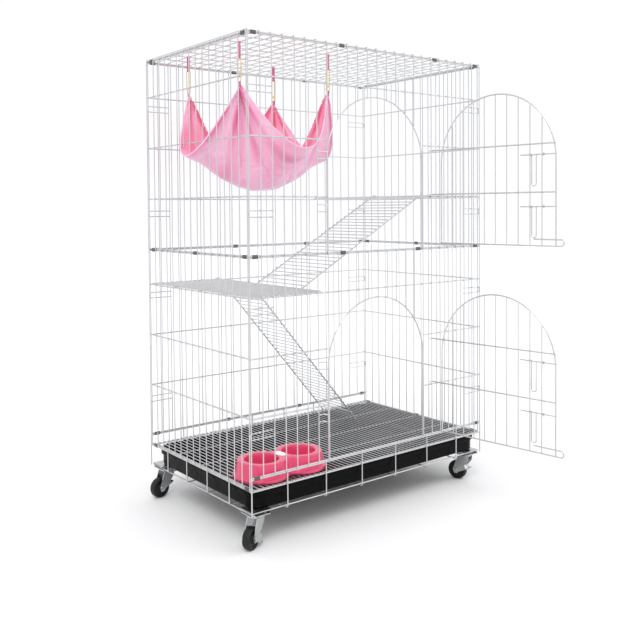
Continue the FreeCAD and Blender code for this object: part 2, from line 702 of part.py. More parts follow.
def strap_loop(x, y):
    """Flat loop round the roof wire above and the clasp below."""
    inner = WIRE + val("rest_gap")
    low = roof_wire_level() - val("strap_length")
    def bar(radius, length):
        start = Vector(x - length / 2, y, low)
        rise = Vector(0, 0, val("strap_length"))
        ends = [Part.makeCylinder(radius, length, base, Vector(1, 0, 0))
                for base in (start, start + rise)]
        web = Part.makeBox(length, 2 * radius, rise.z, start - Vector(0, radius, 0))
        return ends[0].fuse([ends[1], web]).removeSplitter()
    outer = bar(inner + val("strap_thick"), val("strap_wide"))
    return outer.cut(bar(inner, val("strap_wide") + 2))


def make_hangers():
    """Four hangers: strap loop, clasp and ring, linked one through the next."""
    xs, ys = hammock_corners()
    straps, clasps, rings = [], [], []
    wire, ring, half = val("ring_wire_rad"), val("ring_rad"), val("clasp_half")
    top = roof_wire_level()
    cloth_corner = top - val("hammock_drop")
    ring_centre = cloth_corner + val("rest_gap") + wire + ring
    clasp_low = ring_centre + ring - 2 * wire - val("rest_gap")
    clasp_high = top - val("strap_length") - WIRE + wire
    for x in xs:
        for y in ys:
            straps.append(strap_loop(x, y))
            points = [(x + 0.4, y, clasp_high), (x + half, y, clasp_high), (x + half, y, clasp_low),
                      (x - half, y, clasp_low), (x - half, y, clasp_high), (x - 0.4, y, clasp_high)]
            clasps.append(bent_wire(points, half * 0.36, wire))
            rings.append(Part.makeTorus(ring, wire, Vector(x, y, ring_centre), Vector(1, 0, 0)))
    part("hammock_straps", straps)
    part("hammock_clasps", clasps)
    part("hammock_rings", rings)


# ---------------------------------------------------------------- parametric bodies
ABOVE_FLOOR = "sizes.caster_height + sizes.plate_thick - sizes.plate_top"
TRAY_LENGTH = "(sizes.cage_length - sizes.tray_left_gap + sizes.tray_right_out)"
TRAY_DEPTH = "(sizes.cage_depth - 2 * sizes.tray_side_gap)"
TRAY_REST = "(sizes.base_wire_rad + 2 * sizes.rail_rad + sizes.clamp_thick + sizes.rest_gap)"
TRAY_HEIGHT = f"(sizes.ring_level - sizes.rail_rad - sizes.tray_top_gap - {TRAY_REST})"


def bound(thing, **expressions):
    """Bind properties of a document object to cells of the sheet."""
    for name, text in expressions.items():
        thing.setExpression(name.replace("__", "."), text)


def body_sketch(body, name, plane):
    sketch = body.newObject("Sketcher::SketchObject", name)
    origin = [f for f in body.Origin.OriginFeatures if f.Role == plane][0]
    sketch.AttachmentSupport = (origin, [""])
    sketch.MapMode = "FlatFace"
    return sketch


def rounded_outline(sketch, length, depth, corner):
    """A centred rectangle with round corners; its three sizes are expressions."""
    import Sketcher
    x, y, r = 100.0, 60.0, 10.0
    lines = [((-x + r, -y), (x - r, -y)), ((x, -y + r), (x, y - r)),
             ((x - r, y), (-x + r, y)), ((-x, y - r), (-x, -y + r))]
    for a, b in lines:
        sketch.addGeometry(Part.LineSegment(Vector(*a, 0), Vector(*b, 0)), False)
    arcs = [((x - r, -y + r), -90), ((x - r, y - r), 0), ((-x + r, y - r), 90),
            ((-x + r, -y + r), 180)]
    for centre, start in arcs:
        circle = Part.Circle(Vector(*centre, 0), Vector(0, 0, 1), r)
        a = math.radians(start)
        sketch.addGeometry(Part.ArcOfCircle(circle, a, a + math.pi / 2), False)
    tie = Sketcher.Constraint
    for i in range(4):
        sketch.addConstraint(tie("Tangent", i, 2, 4 + i, 1))
        sketch.addConstraint(tie("Tangent", 4 + i, 2, (i + 1) % 4, 1))
    for i in (0, 2):
        sketch.addConstraint(tie("Horizontal", i))
    for i in (1, 3):
        sketch.addConstraint(tie("Vertical", i))
    for i in (5, 6, 7):
        sketch.addConstraint(tie("Equal", 4, i))
    sketch.addConstraint(tie("Symmetric", 4, 3, 6, 3, -1, 1))
    sizes = (("DistanceX", 3, 1, 1, 1, 2 * x, "across", length),
             ("DistanceY", 0, 1, 2, 2, 2 * y, "deep", depth))
    for kind, g1, p1, g2, p2, value, name, text in sizes:
        index = sketch.addConstraint(tie(kind, g1, p1, g2, p2, value))
        sketch.renameConstraint(index, name)
        sketch.setExpression(f"Constraints.{name}", text)
    index = sketch.addConstraint(tie("Radius", 4, r))
    sketch.renameConstraint(index, "corner")
    sketch.setExpression("Constraints.corner", corner)


def make_tray():
    """Moulded tray that fills the basket: wall and floor, a tall lip, and a pocket."""
    body = doc.addObject("PartDesign::Body", "tray")
    body.Label = "tray"
    outline = (f"{TRAY_LENGTH} - 2 * sizes.tray_lip", f"{TRAY_DEPTH} - 2 * sizes.tray_lip",
               "sizes.tray_corner - sizes.tray_lip")
    tub = body_sketch(body, "tub_outline", "XY_Plane")
    rounded_outline(tub, *outline)
    pad = body.newObject("PartDesign::Pad", "tub")
    pad.Profile = tub
    bound(pad, Length=TRAY_HEIGHT)
    lip = body_sketch(body, "lip_outline", "XY_Plane")
    bound(lip, AttachmentOffset__Base__z=f"{TRAY_HEIGHT} - sizes.tray_lip_tall")
    rounded_outline(lip, TRAY_LENGTH, TRAY_DEPTH, "sizes.tray_corner")
    edge = body.newObject("PartDesign::Pad", "lip")
    edge.Profile = lip
    bound(edge, Length="sizes.tray_lip_tall")
    well = body_sketch(body, "well_outline", "XY_Plane")
    bound(well, AttachmentOffset__Base__z=TRAY_HEIGHT)
    inside = [text + " - sizes.tray_wall" * n for text, n in zip(outline, (2, 2, 1))]
    rounded_outline(well, *inside)
    pocket = body.newObject("PartDesign::Pocket", "well")
    pocket.Profile = well
    bound(pocket, Length=f"{TRAY_HEIGHT} - sizes.tray_wall")
    bound(body, Placement__Base__x="(sizes.tray_left_gap + sizes.tray_right_out) / 2",
          Placement__Base__z=f"{TRAY_REST} + {ABOVE_FLOOR}")
    return body


def cone(name, foot, rim, height, x, z):
    thing = doc.addObject("Part::Cone", name)
    bound(thing, Radius1=foot, Radius2=rim, Height=height,
          Placement__Base__x=x, Placement__Base__z=z)
    return thing


def make_bowl():
    """Double feeding bowl: two round lobes and a waist on a foot flange, with two wells."""
    half = "sizes.bowl_spacing / 2"
    lobes = [cone(f"lobe_{i}", "sizes.bowl_lobe_rad", "sizes.bowl_rim_rad", "sizes.bowl_tall",
                  f"{sign}{half}", "0 mm") for i, sign in enumerate(("", "-"))]
    waist = doc.addObject("Part::Box", "waist")
    bound(waist, Length="sizes.bowl_spacing", Width="sizes.bowl_waist",
          Height="sizes.bowl_tall", Placement__Base__x=f"-{half}",
          Placement__Base__y="-sizes.bowl_waist / 2")
    flange = [cone(f"foot_{i}", "sizes.bowl_lobe_rad + sizes.bowl_foot_out",
                   "sizes.bowl_lobe_rad + sizes.bowl_foot_out", "sizes.bowl_foot_tall",
                   f"{sign}{half}", "0 mm") for i, sign in enumerate(("", "-"))]
    outside = doc.addObject("Part::MultiFuse", "bowl_outside")
    outside.Shapes = [*lobes, waist, *flange]
    floor = "sizes.bowl_tall - sizes.well_deep"
    wells = [cone(f"well_{i}", "sizes.well_floor_rad", "sizes.well_rim_rad", "sizes.well_deep",
                  f"{sign}{half}", floor) for i, sign in enumerate(("", "-"))]
    hollow = doc.addObject("Part::MultiFuse", "bowl_hollow")
    hollow.Shapes = wells
    bowl = doc.addObject("Part::Cut", "feeding_bowl")
    bowl.Label = "feeding_bowl"
    bowl.Base, bowl.Tool = outside, hollow
    rest = "sizes.ring_level + sizes.rail_rad + 2 * sizes.wire_rad + sizes.rest_gap"
    bound(bowl, Placement__Base__x="sizes.bowl_from_left - sizes.cage_length / 2",
          Placement__Base__y="sizes.bowl_from_front - sizes.cage_depth / 2",
          Placement__Base__z=f"{rest} + {ABOVE_FLOOR}")
    return bowl


def make_bowl_disc():
    """Plain oval inlay that lies on the bowl's waist."""
    oval = Part.Ellipse(Vector(0, 0, 0), val("disc_long") / 2, val("disc_wide") / 2)
    face = Part.Face(Part.Wire([oval.toShape()]))
    disc = face.extrude(Vector(0, 0, val("disc_thick")))
    level = RING_LEVEL + RAIL + 2 * WIRE + val("rest_gap") + val("bowl_tall")
    turned = Rotation(Vector(0, 0, 1), 90)
    place = Placement(Vector(val("bowl_from_left"), val("bowl_from_front"), level), turned)
    return part("bowl_inlay", [disc], place)


# ---------------------------------------------------------------- casters
CORNERS = {
    "front_left": (0, 0, 206, "lever_down"),
    "front_right": (1, 0, 105, "lever_up"),
    "rear_left": (0, 1, 189, "lever_up"),
    "rear_right": (1, 1, 62, "lever_up"),
}
FORK_HALF = val("wheel_wide") / 2 + 2 * val("lever_side_gap") + val("lever_wall")


def caster_place(corner):
    """Swivel axis of a caster."""
    right, rear, _, _ = CORNERS[corner]
    inset = val("caster_inset")
    x = LENGTH - inset if right else inset
    y = DEPTH - inset if rear else inset
    return x, y


def swivel(corner):
    """Caster frame: the axis at its origin, the wheel trailing along +X."""
    x, y = caster_place(corner)
    return Placement(Vector(x, y, 0), Rotation(Vector(0, 0, 1), CORNERS[corner][2]))


def screw_offsets():
    reach = val("screw_spread")
    return [(sx * reach, sy * reach) for sx in (-1, 1) for sy in (-1, 1)]


def make_caster_plate(corner):
    """Top plate with its raised race and swivel rivet."""
    side, thick = val("plate_side"), val("plate_thick")
    plate = Part.makeBox(side, side, thick, Vector(-side / 2, -side / 2, PLATE_FOOT))
    upright_edges = [e for e in plate.Edges if abs(e.Vertexes[0].Z - e.Vertexes[1].Z) > thick / 2]
    plate = plate.makeFillet(5, upright_edges)
    for x, y in screw_offsets():
        hole = Part.makeCylinder(val("screw_rad") + 0.05, thick + 2, Vector(x, y, PLATE_FOOT - 1))
        plate = plate.cut(hole)
    race = Part.makeCone(val("race_rad") - 3, val("race_rad"), 2, Vector(0, 0, PLATE_FOOT - 2))
    pin_low = PLATE_FOOT - val("race_tall") - val("fork_wall") - 1
    pin = Part.makeCylinder(val("kingpin_rad"), PLATE_FOOT - pin_low, Vector(0, 0, pin_low))
    head = Part.makeCylinder(val("kingpin_rad") + 2, 2, Vector(0, 0, pin_low - 2))
    shape = plate.fuse([race, pin, head]).removeSplitter()
    x, y = caster_place(corner)
    return part(f"{corner}_caster_plate", [shape], Placement(Vector(x, y, 0), Rotation()))


def fork_web_level():
    return PLATE_FOOT - val("race_tall")


def axle_point():
    return Vector(val("caster_trail"), 0, AXLE_LEVEL)


def crossbar(point, radius, width):
    """A cylinder across the caster, centred on its middle plane."""
    start = Vector(point.x, -width / 2, point.z)
    return Part.makeCylinder(radius, width, start, Vector(0, 1, 0))


def make_caster_fork(corner):
    """Pressed fork: a round top with a hole for the rivet, and two cheeks to the axle."""
    wall = val("fork_wall")
    web = fork_web_level()
    axle = axle_point()
    hub = 8.0
    outline = [(-15, web), (15, web), (axle.x + hub, axle.z + 2), (axle.x + hub * 0.6, axle.z - hub),
               (axle.x - hub * 0.6, axle.z - hub), (-13, web - 16), (-15, web - 8)]
    cheeks = []
    for y in (-FORK_HALF - wall, FORK_HALF):
        corners = [Vector(x, y, z) for x, z in outline]
        face = Part.Face(Part.makePolygon(corners + corners[:1]))
        cheeks.append(face.extrude(Vector(0, wall, 0)))
    wide = 2 * (FORK_HALF + wall)
    top = Part.makeBox(30, wide, wall, Vector(-15, -wide / 2, web - wall))
    crown = Part.makeCone(val("race_rad"), val("race_rad") - 2, 2, Vector(0, 0, web))
    shape = top.fuse([crown, *cheeks]).removeSplitter()
    king_bore = Part.makeCylinder(val("kingpin_rad") + val("running_gap"), 20, Vector(0, 0, web - 10))
    axle_bore = crossbar(axle, val("axle_rad") + val("running_gap") / 2, wide + 2)
    return part(f"{corner}_caster_fork", [shape.cut([king_bore, axle_bore])], swivel(corner))


def make_caster_wheel(corner):
    """Rubber wheel, turned about its axle: rounded tread, dished sides, hub and bore."""
    rad, half = val("wheel_rad"), val("wheel_wide") / 2
    bore = val("axle_rad") + val("running_gap")
    hub = bore + 4
    dish, shoulder = 3.0, 5.0
    axle = axle_point()
    def at(radius, aside):
        return axle + Vector(radius, aside, 0)
    sides = [(bore, half), (hub, half), (hub + 1.5, half - dish), (rad - 7, half - dish),
             (rad - shoulder, half - 0.5)]
    near = [at(r, w) for r, w in sides]
    far = [at(r, -w) for r, w in reversed(sides)]
    knee_r, knee_w = rad - shoulder * 0.29, half - 0.5 - shoulder * 0.26
    edges = [Part.LineSegment(a, b).toShape() for a, b in zip(near, near[1:])]
    edges.append(Part.Arc(near[-1], at(knee_r, knee_w), at(rad, half - shoulder)).toShape())
    edges.append(Part.LineSegment(at(rad, half - shoulder), at(rad, shoulder - half)).toShape())
    edges.append(Part.Arc(at(rad, shoulder - half), at(knee_r, -knee_w), far[0]).toShape())
    edges += [Part.LineSegment(a, b).toShape() for a, b in zip(far, far[1:])]
    edges.append(Part.LineSegment(far[-1], near[0]).toShape())
    wheel = Part.Face(Part.Wire(edges)).revolve(axle, Vector(0, 1, 0), 360)
    return part(f"{corner}_caster_wheel", [wheel], swivel(corner))


def headed_pin(name, radius, span, head_radius, head_tall):
    """A pin along +Z with a round head at each end, as fused primitives."""
    shank = doc.addObject("Part::Cylinder", f"{name}_shank")
    bound(shank, Radius=radius, Height=span)
    heads = []
    for end, place in (("low", f"-({head_tall})"), ("high", span)):
        head = doc.addObject("Part::Cylinder", f"{name}_{end}_head")
        bound(head, Radius=head_radius, Height=head_tall, Placement__Base__z=place)
        heads.append(head)
    pin = doc.addObject("Part::MultiFuse", name)
    pin.Label = name
    pin.Shapes = [shank, *heads]
    return pin


def make_caster_axle(corner):
    span = ("sizes.wheel_wide + 4 * sizes.lever_side_gap + 2 * sizes.lever_wall"
            " + 2 * sizes.fork_wall + 0.1")
    axle = headed_pin(f"{corner}_caster_axle", "sizes.axle_rad", span, "sizes.axle_rad + 2.5", "2.4")
    side = Vector(0, FORK_HALF + val("fork_wall") + 0.05, 0)
    local = Placement(axle_point() + side, Rotation(Vector(1, 0, 0), 90))
    axle.Placement = FRAME * swivel(corner) * local
    return axle


def make_brake_lever(corner):
    """Sheet lever that turns on the axle: two cheeks, a plate round the wheel and a foot tab.

    It is drawn level, reaching forward along -X from the axle, then turned to its angle.
    """
    axle = axle_point()
    wall, reach = val("lever_wall"), val("lever_reach")
    tall, tab = val("lever_tall"), val("lever_tab")
    inside = val("wheel_wide") / 2 + val("lever_side_gap")
    outline = [(5, -6), (-8, -8), (-reach - wall, -tall / 2), (-reach - wall, tall / 2),
               (-8, 8), (5, 6)]
    pieces = []
    for y in (-inside - wall, inside):
        corners = [axle + Vector(x, y, z) for x, z in outline]
        face = Part.Face(Part.makePolygon(corners + corners[:1]))
        pieces.append(face.extrude(Vector(0, wall, 0)))
    wide = 2 * (inside + wall)
    low = axle + Vector(-reach - wall, -wide / 2, -tall / 2)
    pieces.append(Part.makeBox(wall, wide, tall, low))
    pieces.append(Part.makeBox(tab, wide, wall, low - Vector(tab, 0, 0)))
    shape = pieces[0].fuse(pieces[1:]).removeSplitter()
    shape = shape.cut(crossbar(axle, val("axle_rad") + val("running_gap"), wide + 2))
    angle = val(CORNERS[corner][3])
    turn = Placement(Vector(), Rotation(Vector(0, 1, 0), angle), axle)
    return part(f"{corner}_brake_lever", [shape], swivel(corner) * turn)


def make_caster_fixings():
    """Clamp plates above the basket wires, and the screws that draw both plates together."""
    side, thick = val("plate_side"), val("clamp_thick")
    under = BASE_WIRE + 2 * RAIL
    clamps, screws = [], []
    for corner in CORNERS:
        x, y = caster_place(corner)
        clamp = Part.makeBox(side, side, thick, Vector(x - side / 2, y - side / 2, under))
        for dx, dy in screw_offsets():
            spot = Vector(x + dx, y + dy, 0)
            clamp = clamp.cut(Part.makeCylinder(val("screw_rad") + 0.05, thick + 2,
                                                spot + Vector(0, 0, under - 1)))
            head_low = PLATE_FOOT - val("screw_head_tall")
            head = Part.makeCylinder(val("screw_head_rad"), val("screw_head_tall"),
                                     spot + Vector(0, 0, head_low))
            shank = Part.makeCylinder(val("screw_rad"), under + thick - PLATE_FOOT,
                                      spot + Vector(0, 0, PLATE_FOOT))
            screws.append(head.fuse(shank).removeSplitter())
        clamps.append(clamp)
    part("caster_clamp_plates", clamps)
    part("caster_screws", screws)


def make_casters():
    for corner in CORNERS:
        make_caster_plate(corner)
        make_caster_fork(corner)
        make_caster_wheel(corner)
        make_caster_axle(corner)
        make_brake_lever(corner)
    make_caster_fixings()


# ---------------------------------------------------------------- build, check, write
make_walls()
make_base_frame()
make_floor_grid()
make_roof()
make_doors()
make_clips()
make_shelves()
make_hammock()
make_hangers()
make_tray()
make_bowl()
make_bowl_disc()
make_casters()
doc.recompute()

for thing in doc.Objects:
    if "Invalid" in thing.State or "Error" in thing.State:
        raise RuntimeError(f"{thing.Label} failed to recompute: {thing.State}")

used = {child.Name for thing in doc.Objects for child in thing.OutList}
bodies = [t for t in doc.Objects if t.isDerivedFrom("PartDesign::Body")]
inside = {child.Name for body in bodies for child in body.Group}
finished = []
for thing in doc.Objects:
    if not thing.isDerivedFrom("Part::Feature") or thing.Name in used - {b.Name for b in bodies}:
        continue
    if thing.Name in inside:
        continue
    if thing.Shape.isNull() or not thing.Shape.isValid():
        raise RuntimeError(f"{thing.Label} has no valid shape")
    finished.append(thing)

os.makedirs("parts", exist_ok=True)
total = 0
for thing in finished:
    thing.Shape.exportStep(f"parts/{thing.Label}.step")
    total += len(thing.Shape.Solids)
print(f"{len(finished)} sub-parts, {total} solids")
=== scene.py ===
# %% [markdown]
# A tall wire cage for rabbits stands on four casters: welded wire panels, two arched doors,
# a black litter tray, wire shelves with ramps, a satin hammock and a double feeding bowl.
# The CAD frame gives every place and size. This lesson gives each piece its real surface.

# %% Load the frame
import json
import math

import bmesh
import bpy
import numpy as np
from mathutils import Matrix, Vector


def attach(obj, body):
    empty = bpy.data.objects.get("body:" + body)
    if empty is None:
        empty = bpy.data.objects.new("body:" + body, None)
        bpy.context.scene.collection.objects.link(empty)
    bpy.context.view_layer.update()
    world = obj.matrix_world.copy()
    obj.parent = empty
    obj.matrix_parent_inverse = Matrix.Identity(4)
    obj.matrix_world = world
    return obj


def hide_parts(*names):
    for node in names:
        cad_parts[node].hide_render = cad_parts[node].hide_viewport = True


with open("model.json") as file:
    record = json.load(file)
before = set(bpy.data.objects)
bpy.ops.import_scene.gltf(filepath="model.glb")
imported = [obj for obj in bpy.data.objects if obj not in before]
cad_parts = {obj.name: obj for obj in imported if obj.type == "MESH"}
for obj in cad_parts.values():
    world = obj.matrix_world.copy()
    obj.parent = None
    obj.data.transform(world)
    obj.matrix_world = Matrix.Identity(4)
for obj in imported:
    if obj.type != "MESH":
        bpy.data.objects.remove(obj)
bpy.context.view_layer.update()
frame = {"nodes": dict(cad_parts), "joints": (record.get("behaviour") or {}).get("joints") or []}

# %% [markdown]
# The camera stands at the cage's front left, two thirds of its height up, and looks almost level.
# Looking almost level keeps the upright wires parallel. The cage is brought to the middle of
# the frame by a lens shift, because a larger tilt would make the uprights lean together.

# %% Camera
CAMERA_PLACE = Vector((-1.3239, -1.6796, 0.7408))
YAW, TILT, ROLL = (math.radians(a) for a in (38.42, -1.71, -0.42))
forward = Vector((math.sin(YAW) * math.cos(TILT), math.cos(YAW) * math.cos(TILT), math.sin(TILT)))
level_right = Vector((math.cos(YAW), -math.sin(YAW), 0))
level_up = level_right.cross(forward)
right = level_right * math.cos(ROLL) + level_up * math.sin(ROLL)
up = right.cross(forward)
lens = bpy.data.cameras.new("camera")
lens.lens, lens.sensor_width, lens.shift_y = 45.63, 36, -0.1366
camera = bpy.data.objects.new("camera", lens)
bpy.context.scene.collection.objects.link(camera)
camera.matrix_world = Matrix((right, up, -forward)).transposed().to_4x4()
camera.location = CAMERA_PLACE
bpy.context.scene.camera = camera
print("camera looks along", [round(v, 3) for v in forward])

# %% [markdown]
# Shader maths reads best as plain arithmetic. This small class wraps one socket and turns each
# operator into a Math node, so that 1 - mask or noise * 0.2 can be written as it is thought.

# %% Shader sockets as numbers
def feed(tree, socket, value):
    """Link a Value to a socket, or store a plain number or colour in it."""
    if isinstance(value, Value):
        tree.links.new(value.socket, socket)
    else:
        socket.default_value = value


class Value:
    """A shader socket that takes part in arithmetic."""

    def __init__(self, tree, socket):
        self.tree, self.socket = tree, socket

    def _math(self, operation, first, second):
        node = self.tree.nodes.new("ShaderNodeMath")
        node.operation = operation
        for slot, value in zip(node.inputs, (first, second)):
            feed(self.tree, slot, value)
        return Value(self.tree, node.outputs[0])

    def __add__(self, other):
        return self._math("ADD", self, other)

    def __radd__(self, other):
        return self._math("ADD", other, self)

    def __sub__(self, other):
        return self._math("SUBTRACT", self, other)

    def __rsub__(self, other):
        return self._math("SUBTRACT", other, self)

    def __mul__(self, other):
        return self._math("MULTIPLY", self, other)

    def __rmul__(self, other):
        return self._math("MULTIPLY", other, self)


print("sockets can be added, subtracted and multiplied")

# %% [markdown]
# A finish is one material with one Principled shader. One method makes any node: its settings
# first, and then the values of its sockets. The others are short names for what finishes share.

# %% Finishes and their nodes
class Finish:
    """A material with one Principled shader, built up with a few lines of Python."""

    def __init__(self, name, color, roughness, metallic=0.0, **fixed):
        self.material = bpy.data.materials.new(name)
        self.material.use_nodes = True
        self.tree = self.material.node_tree
        self.shader = self.tree.nodes["Principled BSDF"]
        self.set(Base_Color=(*color, 1), Roughness=roughness, Metallic=metallic, **fixed)
        self.material.diffuse_color = (*color, 1)

    def set(self, **sockets):
        """Feed the shader's sockets; an underscore stands for the space in a name."""
        for name, value in sockets.items():
            feed(self.tree, self.shader.inputs[name.replace("_", " ")], value)

    def node(self, kind, settings=None, output=0, **sockets):
        """Add a node of a kind, set it up, feed its sockets, and give one output back.

        A socket goes by its name, or by its number as i0, i6 where a node repeats a name.
        """
        node = self.tree.nodes.new(f"ShaderNode{kind}")
        for name, value in (settings or {}).items():
            setattr(node, name, value)
        for name, value in sockets.items():
            numbered = name[0] == "i" and name[1:].isdigit()
            key = int(name[1:]) if numbered else name.replace("_", " ")
            feed(self.tree, node.inputs[key], value)
        return Value(self.tree, node.outputs[output])

    def place(self):
        """Object coordinates, in metres."""
        return self.node("TexCoord", output=3)

    def uv(self):
        """The place on the piece's own UV map, and its two parts as numbers."""
        place = self.node("TexCoord", output=2)
        first = self.node("SeparateXYZ", Vector=place)
        return place, first, Value(self.tree, first.socket.node.outputs[1])

    def noise(self, scale, detail, where=None):
        """A noise about one half, on object coordinates unless another place is given."""
        return self.node("TexNoise", Vector=where or self.place(), Scale=scale, Detail=detail)

    def sine(self, angle):
        return self.node("Math", {"operation": "SINE"}, i0=angle)

    def blend(self, factor, first, second):
        """A colour between two colours, each of them plain or from another node."""
        first, second = (c if isinstance(c, Value) else (*c, 1) for c in (first, second))
        return self.node("Mix", {"data_type": "RGBA"}, output=2, i0=factor, i6=first, i7=second)

    def bump(self, height, distance, strength):
        """Turn a height into a normal. A height of 1 stands out by the distance, in metres."""
        self.set(Normal=self.node("Bump", Height=height, Distance=distance, Strength=strength))


print("shader helpers ready")

# %% [markdown]
# Zinc-plated wire is bright, but never a mirror: the drawing die leaves fine lines and the
# plating dulls unevenly. A slow noise changes the roughness, and a fine one roughens the light.
# The pressed steel of forks and plates has the same plating on a flatter, more mottled face.

# %% Metal finishes
def zinc(name, color, roughness, grain):
    """Plated steel: two scales of noise on roughness, colour and a shallow bump."""
    finish = Finish(name, color, roughness, 1.0)
    cloud, fine = finish.noise(22, 4), finish.noise(grain, 2)
    dull = tuple(c * 0.80 for c in color)
    finish.set(Base_Color=finish.blend(cloud * 0.9, color, dull),
               Roughness=roughness - 0.09 + cloud * 0.16 + fine * 0.05)
    finish.bump(fine, 0.00004, 0.5)
    return finish.material


wire_finish = zinc("zinc_wire", (0.69, 0.695, 0.70), 0.34, 900)
sheet_finish = zinc("zinc_sheet", (0.56, 0.59, 0.58), 0.30, 380)
clip_finish = zinc("dark_clip_steel", (0.15, 0.15, 0.155), 0.38, 500)
brass_finish = zinc("brass", (0.83, 0.62, 0.27), 0.24, 600)
print("metals ready")

# %% [markdown]
# The tray is deep black plastic that throws little light back, with the faint ripple of a large
# moulding. The bowl is crimson pink under a thin clear gloss. The wheels are black rubber, and
# the tabs of the brake levers a harder black plastic.

# %% Plastic and rubber finishes
def moulded(name, color, roughness, ripple, **fixed):
    """Moulded plastic: a slow ripple in the surface and faint cloudy wear."""
    finish = Finish(name, color, roughness, 0.0, **fixed)
    cloud = finish.noise(9, 5)
    worn = tuple(min(1, c * 1.16 + 0.001) for c in color)
    finish.set(Base_Color=finish.blend(cloud, color, worn),
               Roughness=roughness - 0.05 + cloud * 0.11)
    finish.bump(finish.noise(ripple, 2), 0.00025, 0.35)
    return finish.material


tray_finish = moulded("black_tray_plastic", (0.003, 0.003, 0.0035), 0.26, 130,
                      Specular_IOR_Level=0.05)
bowl_finish = moulded("crimson_bowl_plastic", (0.64, 0.042, 0.13), 0.24, 160, Coat_Weight=0.4,
                      Coat_Roughness=0.06)
inlay_finish = moulded("white_inlay", (0.88, 0.88, 0.86), 0.35, 200)
rubber_finish = moulded("black_rubber", (0.008, 0.008, 0.009), 0.5, 700, Specular_IOR_Level=0.3)
tab_finish = moulded("black_tab_plastic", (0.01, 0.01, 0.011), 0.42, 400,
                     Specular_IOR_Level=0.3)
print("plastics ready")

# %% [markdown]
# A piece of wire is a circle carried along a path. All of a panel's wires go into one mesh, as
# on the real welded panel. A straight wire has few faces, because the cage has hundreds of them,
# and its sheared ends are slightly rounded. Where two wires cross, the weld squeezes a small bead
# out round the contact, and that bead is geometry too.

# %% A circle along a path
SHEARED, EASED = 0.72, 0.28  # shares of the radius: the end face, and the run that widens it


def tube(path, radius, sides=12):
    """Vertices and faces of a round wire.

    Each ring is centre + radius * (cos a * side + sin a * lift). The side vector is carried from
    ring to ring: the part of it along the new tangent is taken away, so the wire never twists.
    One smaller ring at each end rounds the sheared edge over to a closing face.
    """
    path = np.asarray(path, float)
    steps = np.diff(path, axis=0)
    steps /= np.linalg.norm(steps, axis=1)[:, None]
    tangents = np.vstack([steps[:1], steps[:-1] + steps[1:], steps[-1:]])
    tangents /= np.linalg.norm(tangents, axis=1)[:, None]
    sides_out = np.empty_like(path)
    side = np.cross(tangents[0], [0.31, 0.62, 0.72])
    for i, tangent in enumerate(tangents):
        side = side - tangent * (side @ tangent)
        side /= np.linalg.norm(side)
        sides_out[i] = side
    ease = EASED * radius
    centres = np.vstack([path[:1], path[:1] + tangents[0] * ease, path[1:-1],
                         path[-1:] - tangents[-1] * ease, path[-1:]])
    radii = np.r_[SHEARED * radius, np.full(len(path), radius), SHEARED * radius]
    tangents = np.vstack([tangents[:1], tangents[:1], tangents[1:-1], tangents[-1:], tangents[-1:]])
    sides_out = np.vstack([sides_out[:1], sides_out[:1], sides_out[1:-1], sides_out[-1:],
                           sides_out[-1:]])
    lifts = np.cross(tangents, sides_out)
    angle = np.arange(sides) * (2 * np.pi / sides)
    ring = (np.cos(angle)[None, :, None] * sides_out[:, None] +
            np.sin(angle)[None, :, None] * lifts[:, None])
    points = centres[:, None] + radii[:, None, None] * ring
    rows = len(centres)
    i, j = np.meshgrid(np.arange(rows - 1), np.arange(sides), indexing="ij")
    k = (j + 1) % sides
    quads = np.stack([i * sides + j, i * sides + k, (i + 1) * sides + k, (i + 1) * sides + j], -1)
    faces = quads.reshape(-1, 4).tolist()
    faces.append(list(range(sides))[::-1])
    faces.append(list(range((rows - 1) * sides, rows * sides)))
    return points.reshape(-1, 3), faces


print("one wire has", len(tube([(0, 0, 0), (0, 0, 1)], 0.001)[1]), "faces")

# %% [markdown]
# A wire is bent over a pin, so each corner of its path is an arc. Arches, eyes and hooks are arcs
# of their own.

# %% Paths with rounded corners
def bent(points, bend, per_bend=6):
    """A path of straight runs whose corners are arcs.

    The arc at a corner starts bend / tan(half the corner's angle) before it. Its points are
    centre + (first * sin((1 - t) * turn) + last * sin(t * turn)) / sin(turn), where first and
    last point from the centre to the arc's ends, and turn is the angle between them.
    """
    points = [np.asarray(p, float) for p in points]
    path = [points[0]]
    for before, corner, after in zip(points, points[1:], points[2:]):
        back = (before - corner) / np.linalg.norm(before - corner)
        ahead = (after - corner) / np.linalg.norm(after - corner)
        half = math.acos(np.clip(back @ ahead, -1, 1)) / 2
        middle = (back + ahead) / np.linalg.norm(back + ahead)
        centre = corner + middle * bend / math.sin(half)
        first = corner + back * bend / math.tan(half) - centre
        last = corner + ahead * bend / math.tan(half) - centre
        turn = math.pi - 2 * half
        for t in np.linspace(0, 1, per_bend + 1):
            path.append(centre + (first * math.sin((1 - t) * turn) + last * math.sin(t * turn))
                        / math.sin(turn))
    path.append(points[-1])
    return np.array(path)


def arc(centre, radius, start, end, across, rise, count=40):
    """Points of an arc: centre + radius * (cos a * across + sin a * rise)."""
    angle = np.radians(np.linspace(start, end, count + 1))[:, None]
    return np.asarray(centre) + radius * (np.cos(angle) * np.asarray(across)
                                          + np.sin(angle) * np.asarray(rise))


print("one bend has", len(bent([(0, 0, 0), (1, 0, 0), (1, 0, 1)], 0.1)) - 2, "points")

# %% [markdown]
# Each piece becomes one mesh object with its finish. It rides on the body that carries it, and
# hides the CAD nodes that it stands for, so that nothing is drawn twice.

